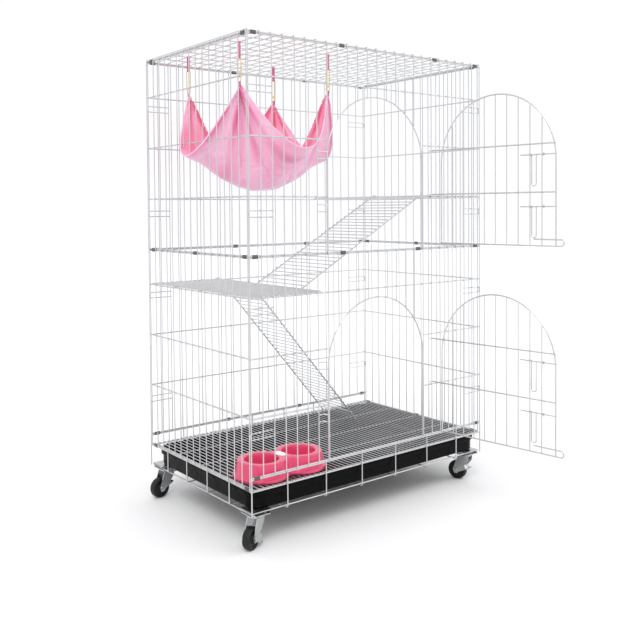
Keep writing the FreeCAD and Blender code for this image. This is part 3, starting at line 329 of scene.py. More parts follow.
# %% Mesh helpers
def mesh_piece(name, parts, finish, smooth_angle=40):
    """One object from several (vertices, faces) pairs, with sharp edges kept sharp."""
    vertices, faces, start = [], [], 0
    for points, cells in parts:
        vertices.append(points)
        faces += [[start + c for c in cell] for cell in cells]
        start += len(points)
    mesh = bpy.data.meshes.new(name)
    mesh.from_pydata(np.vstack(vertices).tolist(), [], faces)
    mesh.materials.append(finish)
    mesh.validate()
    mesh.shade_smooth()
    mesh.set_sharp_from_angle(angle=math.radians(smooth_angle))
    thing = bpy.data.objects.new(name, mesh)
    bpy.context.scene.collection.objects.link(thing)
    return thing


def stand_for(thing, body, slot, *nodes):
    """The piece rides on its body and hides the CAD nodes it stands for. The slot is not used."""
    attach(thing, body)
    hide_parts(*nodes)
    return thing


print("mesh helpers ready")

# %% [markdown]
# The CAD frame already holds each straight wire, only with few sides. Each loose shell of a node
# is measured here: its long axis, its two ends and its radius. The round wire is then drawn on
# that axis. Bent wires come out of the measure as not straight, and are drawn from their bends.

# %% Measure the straight wires of a node
def shells(node):
    """The vertices of each loose shell of a CAD node.

    Corners at one place are one point. Every point starts with its own label, and takes the
    lowest label of its triangle's corners again and again, until no label changes.
    """
    mesh = frame["nodes"][node].data
    co = np.empty(len(mesh.vertices) * 3)
    mesh.vertices.foreach_get("co", co)
    co = co.reshape(-1, 3)
    mesh.calc_loop_triangles()
    triangles = np.empty(len(mesh.loop_triangles) * 3, int)
    mesh.loop_triangles.foreach_get("vertices", triangles)
    spots, same = np.unique(np.round(co, 6), axis=0, return_inverse=True)
    same = same.reshape(-1)
    triangles = same[triangles].reshape(-1, 3)
    label = np.arange(len(spots))
    while True:
        low = label[triangles].min(1)
        fresh = label.copy()
        for corner in range(3):
            np.minimum.at(fresh, triangles[:, corner], low)
        fresh = fresh[fresh]
        if (fresh == label).all():
            break
        label = fresh
    return [spots[label == name] for name in np.unique(label)]


THICKEST = 0.0026  # no straight wire of the cage has a larger radius


def measure(points):
    """(start, end, radius) of a straight round wire, or None for a bent one.

    The long axis is the first singular vector. All points of a straight wire are about as far
    from it as the farthest one, which is the radius, and they run on for many radii.
    """
    centre = (points.min(0) + points.max(0)) / 2
    _, _, axes = np.linalg.svd(points - points.mean(0), full_matrices=False)
    run = (points - centre) @ axes[0]
    off = np.linalg.norm(points - centre - run[:, None] * axes[0], axis=1)
    if off.max() > THICKEST or off.min() < 0.7 * off.max() or np.ptp(run) < 4 * off.max():
        return None
    return centre + run.min() * axes[0], centre + run.max() * axes[0], off.max()


def straight_wires(node):
    """The measures of a node's straight wires."""
    found = [measure(shell) for shell in shells(node)]
    return [wire for wire in found if wire]


print("lower front wall:", len(straight_wires("lower_front_wall")), "straight wires")

# %% [markdown]
# A spot weld joins each crossing of the real panel. The crossings are worked out from the
# measured wires, and each one gets a small flattened ball between its two wires.

# %% Weld beads where wires cross
def crossings(wires, slack=0.0004):
    """Weld spots of straight wires that touch side by side.

    For two lines the nearest points solve two linear equations. A weld is where those points lie
    on both wires, and their distance is the sum of the radii, give or take the slack.
    """
    spots = []
    starts = np.array([w[0] for w in wires])
    runs = np.array([w[1] - w[0] for w in wires])
    radii = np.array([w[2] for w in wires])
    for i in range(len(wires) - 1):
        rest = slice(i + 1, None)
        between = starts[rest] - starts[i]
        a, b = runs[i] @ runs[i], (runs[rest] ** 2).sum(1)
        c, d, e = runs[rest] @ runs[i], between @ runs[i], (between * runs[rest]).sum(1)
        determinant = a * b - c * c
        safe = np.where(determinant > 1e-3 * a * b, determinant, np.inf)
        s, t = (d * b - c * e) / safe, (c * d - a * e) / safe
        near = starts[i] + s[:, None] * runs[i]
        far = starts[rest] + t[:, None] * runs[rest]
        gap = np.linalg.norm(far - near, axis=1)
        reach = radii[i] + radii[rest]
        touch = (np.isfinite(safe) & (s > 0) & (s < 1) & (t > 0) & (t < 1)
                 & (abs(gap - reach) < slack))
        for k in np.flatnonzero(touch):
            along = (far[k] - near[k]) / gap[k]
            spots.append((near[k] + along * radii[i], along, min(radii[i], radii[rest][k])))
    return spots


def bead(place, normal, radius, around=8, rows=4):
    """A flattened ball at a weld.

    Its points are place + wide * cos b * (cos a * u + sin a * v) + flat * sin b * normal, where
    wide is a little more than the wire's radius and flat is a little over half of it.
    """
    u = np.cross(normal, [0.4, 0.3, 0.87])
    u /= np.linalg.norm(u)
    v = np.cross(normal, u)
    a = np.arange(around) * (2 * np.pi / around)
    b = np.linspace(-0.5, 0.5, rows + 1)[1:-1, None, None] * np.pi
    ring = np.cos(a)[:, None] * u + np.sin(a)[:, None] * v
    wide, flat = 1.02 * radius, 0.55 * radius
    body = place + wide * np.cos(b) * ring + flat * np.sin(b) * normal
    points = np.vstack([body.reshape(-1, 3), place - flat * normal, place + flat * normal])
    count = rows - 1
    i, j = np.meshgrid(np.arange(count - 1), np.arange(around), indexing="ij")
    k = (j + 1) % around
    faces = np.stack([i * around + j, i * around + k, (i + 1) * around + k, (i + 1) * around + j],
                     -1).reshape(-1, 4).tolist()
    low, high, last = count * around, count * around + 1, (count - 1) * around
    faces += [[low, (s + 1) % around, s] for s in range(around)]
    faces += [[high, last + s, last + (s + 1) % around] for s in range(around)]
    return points, faces


def wire_piece(node, body, bends=(), welds=True):
    """Round wires, weld beads and bent wires in place of a CAD node."""
    wires = straight_wires(node)
    parts = [tube(np.array([a, b]), r) for a, b, r in wires]
    parts += [tube(path, radius) for path, radius in bends]
    spots = crossings(wires) if welds else []
    parts += [bead(*spot) for spot in spots]
    stand_for(mesh_piece(node + "_wires", parts, wire_finish), body, "wire", node)
    print(node, len(wires), "straight,", len(bends), "bent,", len(spots), "welds")


# %% [markdown]
# The long walls, the roof, the floor grid and the shelves are straight wires, apart from the
# double wires at the corners, each one wire bent back on itself as a hairpin.

# %% Sizes that the bent wires share
WIRE, RAIL, BASE_WIRE = 0.0013, 0.00175, 0.0015
CLEAR = 0.0003
LENGTH, DEPTH = 0.740, 0.470
PITCH = LENGTH / 24
BASKET, BASKET_RAIL, GRID_RING = 0.0771, 0.079, 0.053
STACK = 2 * RAIL + 0.0001
RAIL_PLANE = WIRE + RAIL
STOREY = 0.476
LOW_FOOT = BASKET + BASKET_RAIL + STACK
HIGH_FOOT = LOW_FOOT + STOREY + STACK
FEET = {"lower": LOW_FOOT, "upper": HIGH_FOOT}
FRONT, LEFT = -DEPTH / 2, -LENGTH / 2
HOOK_SHARES, HOOK_HALF = (0.245, 0.81), 0.007


def hairpin(near, far, plane, middle, half):
    """Out, back on itself and home, in one upright plane."""
    return bent([(near, plane, middle + half), (far, plane, middle + half),
                 (far, plane, middle - half), (near, plane, middle - half)], half * 0.8)


def corner_hooks(foot, plane):
    """The four hairpins of a long wall: two heights, measured down from its top, at both ends."""
    paths = []
    for share in HOOK_SHARES:
        middle = foot + STOREY * (1 - share)
        for side in (-1, 1):
            near, far = side * (LENGTH / 2 - 2 * PITCH), side * (LENGTH / 2 + WIRE)
            paths.append((hairpin(near, far, plane, middle, HOOK_HALF), WIRE))
    return paths


print("lower wall foot", round(LOW_FOOT, 4), "upper wall foot", round(HIGH_FOOT, 4))

# %% [markdown]
# The doorway's edge is one thick wire: up, over a half circle and down. Beside it two staples
# keep the tips of the door's bolts. These and the hairpins are a wall's only bent wires.

# %% Walls, roof, floor grid and shelves
DOOR_LEFT, DOOR_RIGHT = LEFT + 7 * PITCH, LEFT + 17 * PITCH
HINGE_X = LEFT + 18 * PITCH
ARCH_SPRING, DOOR_LIFT = 0.212, 0.012
EYE_RAD = WIRE + CLEAR + RAIL
DOOR_FRAME = -(EYE_RAD + 2 * RAIL)
DOOR_WIRES = -(EYE_RAD + RAIL + WIRE)
BOLT_RAD, GUIDE_RAD = 0.0015, 0.0011
BOLT_PLANE = DOOR_FRAME - RAIL - CLEAR - BOLT_RAD
KEEPER_PLANE = BOLT_PLANE - BOLT_RAD - 0.0004 - WIRE
BOLT_LEVELS = (DOOR_LIFT + 0.090, DOOR_LIFT + 0.210)


def arched(left, right, plane, foot, spring):
    """Up one side, over a half circle and down the other."""
    radius, middle = (right - left) / 2, (left + right) / 2
    crown = arc((middle, plane, spring), radius, 180, 0, (1, 0, 0), (0, 0, 1), 48)
    return np.vstack([[(left, plane, foot)], crown, [(right, plane, foot)]])


def keeper(level, half=0.008):
    """A staple: from the wall's upright out over the bolt's tip, down past it and back."""
    post, front, flat = LEFT + 6 * PITCH - 0.002, DOOR_LEFT - 0.012, FRONT - 2 * WIRE
    step, near = front - 0.009, FRONT + KEEPER_PLANE
    high, low = level + half, level - half
    return bent([(post, flat, high), (step, flat, high), (front, near, high),
                 (front, near, low), (step, flat, low), (post, flat, low)], 2 * WIRE)


for storey, foot in FEET.items():
    doorway = arched(DOOR_LEFT, DOOR_RIGHT, FRONT + RAIL_PLANE, foot + RAIL, foot + ARCH_SPRING)
    bends = [(doorway, RAIL), *corner_hooks(foot, FRONT + 2 * WIRE)]
    bends += [(keeper(foot + level), WIRE) for level in BOLT_LEVELS]
    wire_piece(f"{storey}_front_wall", "cage", bends)
    wire_piece(f"{storey}_back_wall", "cage", corner_hooks(foot, -FRONT - 2 * WIRE))
    for name in ("left_wall", "right_wall", "platform"):
        wire_piece(f"{storey}_{name}", "cage")
for name in ("roof_panel", "floor_grid"):
    wire_piece(name, "cage")

# %% [markdown]
# The basket's cross wires are one wire each: up the front, under the tray and up the back. The
# long wires rise at the left end only, because the tray comes out at the right.

# %% Basket
def basket_bends(end=0.095, side=0.144, bend=0.005):
    """Six cross wires, spread evenly between the two ends, and four long wires."""
    outer = RAIL_PLANE - BASE_WIRE - RAIL
    front, back, left = FRONT + outer, -FRONT - outer, LEFT + outer
    paths = []
    top = BASKET + BASKET_RAIL + 0.001
    for x in LEFT + np.linspace(end, LENGTH - end, 6):
        paths.append((bent([(x, front, top), (x, front, BASKET), (x, back, BASKET),
                            (x, back, top)], bend), BASE_WIRE))
    level, top = BASKET + 2 * BASE_WIRE, BASKET + GRID_RING + 0.001
    for y in np.linspace(-side, side, 4):
        paths.append((bent([(left, y, top), (left, y, level),
                            (-LEFT - 0.008 + RAIL, y, level)], bend), BASE_WIRE))
    return paths


wire_piece("base_frame", "cage", basket_bends())

# %% [markdown]
# A door is drawn shut, with its hinge upright at the origin, and then turned to the open place
# that the CAD frame stores. Its two hinge wires end in eyes round the upright, and its foot wire
# runs past the free side and comes back as a pull.

# %% Doors and bolts
DOOR_OPEN = math.radians(97)
DOOR_OVERLAP = 0.004
FREE = DOOR_LEFT - DOOR_OVERLAP - HINGE_X
HINGE = DOOR_RIGHT + DOOR_OVERLAP - HINGE_X
PULL_OUT, PULL_RISE, PULL_BACK = 0.022, 0.015, 0.076
EYE_LEVELS = (0.135, 0.246)


def opened(points):
    """Turn points of the shut door about the hinge, and put them at the hinge upright."""
    c, s = math.cos(DOOR_OPEN), math.sin(DOOR_OPEN)
    turn = np.array([[c, -s, 0], [s, c, 0], [0, 0, 1]])
    return np.asarray(points) @ turn.T + (HINGE_X, FRONT, 0)


def door_bends(foot):
    """Frame, foot wire with its pull, two wires with their eyes, and the bolts' four guides."""
    bottom = foot + DOOR_LIFT
    paths = [(arched(FREE, HINGE, DOOR_FRAME, bottom, foot + ARCH_SPRING), RAIL)]
    end, rise = FREE - PULL_OUT, bottom + PULL_RISE
    paths.append((bent([(HINGE + RAIL, -EYE_RAD, bottom), (end, -EYE_RAD, bottom),
                        (end, -EYE_RAD, rise), (end + PULL_BACK, -EYE_RAD, rise)],
                       0.0072), RAIL))
    for level in (foot + up for up in EYE_LEVELS):
        eye = arc((0, 0, level), EYE_RAD, -90, 150, (1, 0, 0), (0, 1, 0), 24)
        paths.append((np.vstack([[(FREE - RAIL, -EYE_RAD, level)], eye]), RAIL))
    half = BOLT_RAD + CLEAR + GUIDE_RAD
    front = BOLT_PLANE - half
    for level in (foot + up for up in BOLT_LEVELS):
        for x in (LEFT + 8 * PITCH - HINGE_X - WIRE - GUIDE_RAD,
                  LEFT + 9 * PITCH - HINGE_X + WIRE + GUIDE_RAD):
            paths.append((bent([(x, DOOR_WIRES, level + half), (x, front, level + half),
                                (x, front, level - half), (x, DOOR_WIRES, level - half)],
                               half * 0.95), GUIDE_RAD))
    return [(opened(path), radius) for path, radius in paths]


def bolt_loop(level, along=0.060, half=0.006, hang=0.072):
    """The finger loop: a hairpin that hangs from the bolt, with its legs half each side."""
    middle, plane = FREE - RAIL / 2 + along, BOLT_PLANE - BOLT_RAD - WIRE
    top, drop = level + 0.002, level - hang
    return opened(bent([(middle - half, plane, top), (middle - half, plane, drop),
                        (middle + half, plane, drop), (middle + half, plane, top)],
                       half * 0.95))


for storey, foot in FEET.items():
    wire_piece(f"{storey}_door", f"{storey}_door", door_bends(foot))
    for name, level in zip(("bottom", "top"), BOLT_LEVELS):
        node = f"{storey}_door_{name}_bolt"
        wire_piece(node, node, [(bolt_loop(foot + level), WIRE)], welds=False)

# %% [markdown]
# A ramp's two rails hook over the platform's edge wire, and its rungs lie on top of them. The
# hook's centre is the edge wire, and the rail leaves it on a tangent.

# %% Ramps
def ramp_rails(edge, foot, sides):
    """Rail paths: the arc round the edge wire, and then the tangent run to the foot.

    The run's angle is the slope of the line from edge to foot, plus asin(hook / distance).
    """
    heading = 1 if foot[0] > edge[0] else -1
    hook = 2 * RAIL + CLEAR
    away = (foot[0] - edge[0], foot[1] - edge[1])
    span = math.hypot(*away)
    angle = math.atan2(-away[1], abs(away[0])) + math.asin(hook / span)
    ahead = np.array([heading * math.cos(angle), 0, -math.sin(angle)])
    out = np.array([heading * math.sin(angle), 0, math.cos(angle)])
    paths = []
    for y in sides:
        centre = np.array([edge[0], y, edge[1]])
        turn = arc(centre, hook, 160, 0, out, -ahead, 16)
        end = centre + out * hook + ahead * math.sqrt(span ** 2 - hook ** 2)
        paths.append((np.vstack([turn, [end]]), RAIL))
    return paths


SHELF_EDGE, LOW_SHELF, HIGH_SHELF = 0.196, LOW_FOOT + 0.388, HIGH_FOOT + 0.128
LOW_RUN, HIGH_RUN = 0.362, 0.396
low_edge = (LEFT + SHELF_EDGE, LOW_SHELF + 2 * RAIL)
high_edge = (-LEFT - SHELF_EDGE, HIGH_SHELF + 2 * RAIL)
floor_top = BASKET + GRID_RING + RAIL + 2 * WIRE + CLEAR
shelf_top = LOW_SHELF + RAIL + 2 * WIRE + CLEAR
wire_piece("lower_ramp", "lower_ramp", ramp_rails(
    low_edge, (low_edge[0] + LOW_RUN, floor_top + RAIL), (FRONT + 0.303, FRONT + 0.453)))
wire_piece("upper_ramp", "upper_ramp", ramp_rails(
    high_edge, (high_edge[0] - HIGH_RUN, shelf_top + RAIL), (FRONT + 0.023, FRONT + 0.203)))

# %% [markdown]
# Many pieces are one profile carried round a closed outline, so that the grid joins itself in
# both directions. This helper gives such a grid its quads, and another turns a closed shell the
# right way out: the sum of its triangles' signed volumes is positive when the faces point out.

# %% Closed grids
def grid_faces(rows, columns, wrap_rows=False, wrap_columns=True):
    """Quads between neighbouring rows and columns of a grid of points."""
    i = np.arange(rows if wrap_rows else rows - 1)
    j = np.arange(columns if wrap_columns else columns - 1)
    i, j = np.meshgrid(i, j, indexing="ij")
    down, on = (i + 1) % rows, (j + 1) % columns
    quads = np.stack([i * columns + j, i * columns + on, down * columns + on,
                      down * columns + j], -1)
    return quads.reshape(-1, 4).tolist()


def outward(points, faces):
    """The same faces, all turned round if they enclose a negative volume."""
    volume = 0.0
    for size in {len(f) for f in faces}:
        cells = np.array([f for f in faces if len(f) == size])
        for k in range(1, size - 1):
            a, b, c = points[cells[:, 0]], points[cells[:, k]], points[cells[:, k + 1]]
            volume += (a * np.cross(b, c)).sum() / 6
    return faces if volume > 0 else [face[::-1] for face in faces]


print("a grid of 3 rows and 4 columns has", len(grid_faces(3, 4)), "quads")

# %% [markdown]
# The tray is a thin moulding that fills the basket. Its tall lip gives the hand a hold and
# stiffens the wall. Each row of the profile is the same rounded rectangle, set in by some
# amount, so every edge gets the small radius that a mould needs.

# %% Litter tray
def rounded_rectangle(half_x, half_y, corner, inset, per_corner=14):
    """Outline set in by inset: four arcs of radius corner - inset, joined by straights."""
    r = max(corner - inset, 0.002)
    t = np.linspace(0, np.pi / 2, per_corner)
    cx, cy = half_x - inset - r, half_y - inset - r
    sides = [(1, 1, 0), (-1, 1, 1), (-1, -1, 2), (1, -1, 3)]
    return np.vstack([np.stack([sx * cx + r * np.cos(t + q * np.pi / 2),
                                sy * cy + r * np.sin(t + q * np.pi / 2)], -1)
                      for sx, sy, q in sides])


def litter_tray():
    """Each (inset, z) of the profile is one rounded rectangle, from the inner floor up and round."""
    half_x, half_y, corner, shift = 0.368, DEPTH / 2 - 0.007, 0.042, 0.006
    low, top, lip = BASKET + 0.0067, BASKET + 0.05025, BASKET + 0.03625
    profile = [(0.0225, low + 0.0025), (0.0135, low + 0.0025), (0.0100, low + 0.0032),
               (0.0080, low + 0.0050), (0.0075, low + 0.0075), (0.0075, top - 0.0012),
               (0.0071, top - 0.0004), (0.0063, top), (0.0014, top), (0.0004, top - 0.0004),
               (0.0, top - 0.0014), (0.0, lip + 0.0010), (0.0003, lip + 0.0003), (0.0010, lip),
               (0.0044, lip), (0.0049, lip - 0.0004), (0.0050, lip - 0.0012),
               (0.0052, low + 0.0060), (0.0062, low + 0.0026), (0.0080, low + 0.0008),
               (0.0110, low), (0.0225, low)]
    rows = []
    for inset, z in profile:
        flat = rounded_rectangle(half_x, half_y, corner, inset)
        rows.append(np.column_stack([flat[:, 0] + shift, flat[:, 1], np.full(len(flat), z)]))
    points = np.vstack(rows)
    columns = len(rows[0])
    faces = grid_faces(len(rows), columns)
    faces.append(list(range(columns)))
    faces.append(list(range((len(rows) - 1) * columns, len(rows) * columns))[::-1])
    return points, outward(points, faces)


tray = mesh_piece("litter_tray", [litter_tray()], tray_finish, 50)
stand_for(tray, "tray", "tray_plastic", "tray")
print("tray", [round(v, 3) for v in tray.dimensions])

# %% [markdown]
# The bowl is two round lobes with a soft waist. In plan its outline is where a smooth minimum of
# the distances to the two lobe centres equals the lobe's radius. The wells stay true circles,
# and the rows between a well and the outline slide from one shape to the other.

# %% One row of the bowl
BOWL = np.array([LEFT + 0.128, FRONT + 0.074, BASKET + 0.05765])
LOBE, BLEND, BOWL_TOP = 0.052, 0.005, 0.039
OUTER, MIDDLE = 96, 16  # steps round a lobe's free side, and along the mid plane


def lobe_row(radius, z, circle=None, mix=1.0):
    """One row round the right lobe, from the waist's front to its back and along the mid plane.

    A smooth minimum of distances a and b is -k * ln(exp(-a / k) + exp(-b / k)). On the mid plane
    both are equal, so the outline crosses it at y = sqrt((radius + k * ln 2)^2 - lobe^2). Along
    each direction from the lobe's centre the reach is found by halving an interval, which ends at
    the mid plane: past it the other lobe begins, and the search would jump over to that one.
    Given a circle, the row lies between that circle, at mix 0, and the outline, at mix 1.
    """
    waist = math.sqrt((radius + BLEND * math.log(2)) ** 2 - LOBE ** 2)
    lean = math.atan2(waist, LOBE)
    angle = np.r_[np.linspace(-math.pi + lean, math.pi - lean, OUTER + 1),
                  np.linspace(math.pi - lean, math.pi + lean, MIDDLE + 1)[1:-1]]
    c, s = np.cos(angle), np.sin(angle)
    plane = np.where(c < -1e-6, LOBE / np.maximum(-c, 1e-6), np.inf)
    low, high = np.full(len(angle), 0.3 * radius), np.minimum(1.6 * radius, plane)
    for _ in range(40):
        reach = (low + high) / 2
        x, y = LOBE + reach * c, reach * s
        a, b = np.hypot(x - LOBE, y), np.hypot(x + LOBE, y)
        outside = -BLEND * np.log(np.exp(-a / BLEND) + np.exp(-b / BLEND)) > radius
        low, high = np.where(outside, low, reach), np.where(outside, reach, high)
    reach[[0, OUTER]] = LOBE / np.cos(lean)
    if circle is not None:
        reach = circle + (reach - circle) * mix
    return np.column_stack([LOBE + reach * c, reach * s, np.full(len(angle), z)])


print("one row of the bowl has", len(lobe_row(0.066, 0)), "points")

# %% [markdown]
# The rows run from the well's floor up to the rim, down the wall and out over the foot. Only the
# right lobe is worked out. The left one is its mirror image, and where they meet the points are
# merged.

# %% Double feeding bowl
def feeding_bowl():
    """The right half, well floor to foot, its mirror image, and one face under both."""
    floor, well, rim = 0.007, 0.0422, 0.0535
    rows = [lobe_row(rim, floor, r, 0) for r in (0.006, 0.018, 0.029)]
    rows += [lobe_row(rim, floor + z, r, 0) for r, z in
             ((0.0325, 0.0006), (0.0345, 0.0024), (0.0355, 0.0056), (0.0378, 0.018),
              (0.0398, 0.0285), (0.0403, 0.0308), (0.0411, 0.0317), (well, 0.032))]
    rows += [lobe_row(rim, BOWL_TOP, well, mix) for mix in (0.5, 1.0)]
    ring = len(rows)
    wall = [(0.0548, 0.0386), (0.0556, 0.0378), (0.0560, 0.0365), (0.0580, 0.0260),
            (0.0604, 0.0140), (0.0612, 0.0102), (0.0622, 0.0088), (0.0645, 0.0080),
            (0.0655, 0.0074), (0.0660, 0.0062), (0.0660, 0.0012), (0.0652, 0.0002),
            (0.0640, 0.0)]
    rows += [lobe_row(radius, z) for radius, z in wall]
    columns, outer = len(rows[0]), OUTER + 1
    points = np.vstack(rows)
    faces = grid_faces(ring, columns)
    skirt = np.array(grid_faces(len(rows) - ring + 1, columns, wrap_columns=False))
    skirt = skirt[(skirt % columns).max(1) < outer] + (ring - 1) * columns
    faces += skirt.tolist()
    faces.append(list(range(columns))[::-1])
    count = len(points)
    mirror = points * (-1, 1, 1)
    faces += [[count + k for k in face][::-1] for face in faces]
    both = np.vstack([points, mirror])
    last = (len(rows) - 1) * columns
    faces.append(list(range(last, last + outer))
                 + list(range(count + last + outer - 2, count + last, -1)))
    return both + BOWL, faces


def welded(name, parts, finish, smooth_angle):
    """A piece whose points at one place are merged, its normals made to agree."""
    thing = mesh_piece(name, parts, finish, smooth_angle)
    shape = bmesh.new()
    shape.from_mesh(thing.data)
    bmesh.ops.remove_doubles(shape, verts=shape.verts, dist=2e-6)
    bmesh.ops.recalc_face_normals(shape, faces=shape.faces)
    shape.to_mesh(thing.data)
    open_edges = sum(1 for e in shape.edges if not e.is_manifold)
    shape.free()
    thing.data.set_sharp_from_angle(angle=math.radians(smooth_angle))
    print(name, len(thing.data.polygons), "faces,", open_edges, "open edges")
    return thing


bowl = welded("double_feeding_bowl", [feeding_bowl()], bowl_finish, 50)
stand_for(bowl, "bowl", "bowl_plastic", "feeding_bowl")

# %% [markdown]
# A plain oval plate lies on the waist between the wells. It is so small that a few rows of
# smaller and smaller ellipses are enough to round its edge.

# %% Inlay between the wells
def oval_inlay(half_long=0.017, half_wide=0.010, count=64):
    """Ellipse rows: each takes an inset off both half widths, over a low domed profile."""
    t = np.arange(count) * (2 * np.pi / count)
    rows = []
    for inset, z in ((0, 0.0), (0, 0.0010), (0.0003, 0.0014), (0.0009, 0.0016), (0.004, 0.00165),
                     (0.0075, 0.0017)):
        rows.append(np.column_stack([(half_wide - inset) * np.cos(t),
                                     (half_long - inset) * np.sin(t), np.full(count, z)]))
    points = np.vstack(rows) + BOWL + (0, 0, BOWL_TOP)
    last = (len(rows) - 1) * count
    faces = grid_faces(len(rows), count)
    faces += [list(range(count)), list(range(last, last + count))[::-1]]
    return points, outward(points, faces)


inlay = mesh_piece("oval_inlay", [oval_inlay()], inlay_finish, 60)
stand_for(inlay, "bowl", "inlay_plastic", "bowl_inlay")
print("inlay", [round(v, 4) for v in inlay.dimensions])

# %% [markdown]
# The hammock is a square of lined satin, 440 mm each way, hung by its four corners. A cloth
# simulation finds its shape: the sheet starts flat, the corners are drawn in to the rings, and
# the spare cloth falls into the deep bowl, hanging edges and upright folds of the real one.

# %% Hammock cloth, simulated
ROOF_WIRE = BASKET + 1.04225
HANG_X = (LEFT + 1.8 * PITCH, LEFT + 10.2 * PITCH)
HANG_Y = (-0.116, 0.116)
CLOTH_TOP = ROOF_WIRE - 0.092
CUT = 0.440
DRAWN_BY, HUNG_BY = 25, 70  # frames: the corners have come in, and the cloth has settled


def flat_cloth(count):
    """(u, v) over the square and the flat sheet, with a seeded ripple that starts the folds."""
    t = np.linspace(-1, 1, count + 1)
    u, v = np.meshgrid(t, t, indexing="ij")
    ripple = np.random.default_rng(7).normal(0, 0.0006, u.shape) * (abs(u) < 1) * (abs(v) < 1)
    sheet = np.stack([CUT / 2 * u, CUT / 2 * v, -0.02 * (1 - u * u) * (1 - v * v) + ripple], -1)
    return u, v, sheet


def hang_cloth(count):
    """Points of the hung cloth about the middle of its four rings."""
    u, v, sheet = flat_cloth(count)
    half = ((HANG_X[1] - HANG_X[0]) / 2, (HANG_Y[1] - HANG_Y[0]) / 2)
    drawn = sheet * (2 * half[0] / CUT, 2 * half[1] / CUT, 1)
    mesh = bpy.data.meshes.new("cloth_start")
    mesh.from_pydata(sheet.reshape(-1, 3).tolist(), [],
                     grid_faces(count + 1, count + 1, wrap_columns=False))
    cloth = bpy.data.objects.new("cloth_start", mesh)
    bpy.context.scene.collection.objects.link(cloth)
    cloth.shape_key_add(name="flat")
    key = cloth.shape_key_add(name="drawn")
    key.data.foreach_set("co", drawn.astype(np.float32).ravel())
    for value, at in ((0, 1), (1, DRAWN_BY)):
        key.value = value
        key.keyframe_insert("value", frame=at)
    pins = cloth.vertex_groups.new(name="pins")
    last = count * (count + 1)
    pins.add([0, count, last, last + count], 1.0, "REPLACE")
    modifier = cloth.modifiers.new("cloth", "CLOTH")
    how = modifier.settings
    how.quality, how.mass, how.air_damping = 8, 0.25, 2
    how.tension_stiffness, how.compression_stiffness = 40, 20
    how.shear_stiffness, how.bending_stiffness = 8, 0.3
    how.tension_damping = how.compression_damping = how.shear_damping = 8
    how.bending_damping = 1.5
    how.vertex_group_mass = "pins"
    modifier.collision_settings.use_collision = False
    modifier.point_cache.frame_end = HUNG_BY
    for at in range(1, HUNG_BY + 1):
        bpy.context.scene.frame_set(at)
    hung = cloth.evaluated_get(bpy.context.evaluated_depsgraph_get())
    found = np.empty(len(hung.data.vertices) * 3)
    hung.data.vertices.foreach_get("co", found)
    bpy.data.objects.remove(cloth)
    bpy.context.scene.frame_set(1)
    return found.reshape(count + 1, count + 1, 3)


hung = hang_cloth(56)
print("cloth hangs", round(-hung[..., 2].min(), 3), "m below its rings")

# %% [markdown]
# Satin shines through its long floating threads, and turns pale where it is seen at a slant. The
# sheen gives the pale slant, and crossed sines on the cloth's own UV, in metres, the threads.

# %% Satin finishes
def satin(name, color, sheen_tint, weave=2600):
    """Woven satin on UV in metres: fine cross threads, slubs, soft sheen and cloudy painted sheen.

    A point attribute, 0 on a crest and 1 in a valley, paints shade into the gathers' valleys.
    """
    finish = Finish(name, color, 0.42, 0.0, Sheen_Weight=0.55, Sheen_Roughness=0.35,
                    Sheen_Tint=(*sheen_tint, 1), Specular_IOR_Level=0.55)
    uv, across, along = finish.uv()
    threads = finish.sine(across * weave * 2)
    floats = finish.sine(along * weave + threads * 0.8)
    stretched = finish.node("Mapping", Vector=uv, Scale=(14, 120, 1))
    slub, cloud = finish.noise(3, 3, stretched), finish.noise(11, 4, uv)
    # painted sheen: a pale colour, tinted like the sheen, blended in where the cloud noise is high
    pale = tuple(min(1.0, 0.45 * c + 0.55 * t) for c, t in zip(color, sheen_tint))
    # painted shade: the pleats' valleys darken towards a deep shade of the colour
    painted_fold_shade = finish.node("Attribute", {"attribute_name": "painted_fold_shade"}, output=2)
    painted_shade_colour = tuple(c * f for c, f in zip(color, (0.80, 0.34, 0.50)))
    colour_with_painted_sheen = finish.blend(cloud * 2.2 + slub * 0.3 - 0.75, color, pale)
    finish.set(Base_Color=finish.blend(painted_fold_shade, colour_with_painted_sheen, painted_shade_colour),
               Roughness=0.34 + cloud * 0.14 + slub * 0.06)
    finish.bump(floats * 0.35 + threads * 0.25 + slub * 0.6, 0.00025, 0.45)
    return finish.material


outer_satin = satin("pink_satin", (0.93, 0.36, 0.56), (0.99, 0.80, 0.98))
# The lining's deeper crimson is partly its own colour and partly painted shade of the hung bowl's
# inside.
lining_satin_with_painted_shade = satin("rose_lining_with_painted_shade", (0.84, 0.15, 0.30), (0.97, 0.60, 0.80))
hem_satin = satin("hem_satin", (0.93, 0.42, 0.58), (1.0, 0.80, 0.96))
print("satins ready")

# %% [markdown]
# Two helpers finish the cloth's shape. One puts new points between the simulated ones, and the
# other adds the soft pleats that run from each ring, where the corner is gathered.

# %% Finer cloth and pleats
def with_uv(thing, uv):
    """Give each face corner the UV of its vertex."""
    layer = thing.data.uv_layers.new(name="UVMap")
    index = np.empty(len(thing.data.loops), int)
    thing.data.loops.foreach_get("vertex_index", index)
    layer.data.foreach_set("uv", np.asarray(uv)[index].ravel())


def grid_normals(p):
    """Unit normals: the cross product of the differences along the grid's two directions."""
    n = np.cross(np.gradient(p, axis=0), np.gradient(p, axis=1))
    return n / np.maximum(np.linalg.norm(n, axis=-1, keepdims=True), 1e-12)


PLEAT, PLEAT_TURNS, PLEAT_FADE, PLEAT_START = 0.0055, 14, 0.13, 0.012


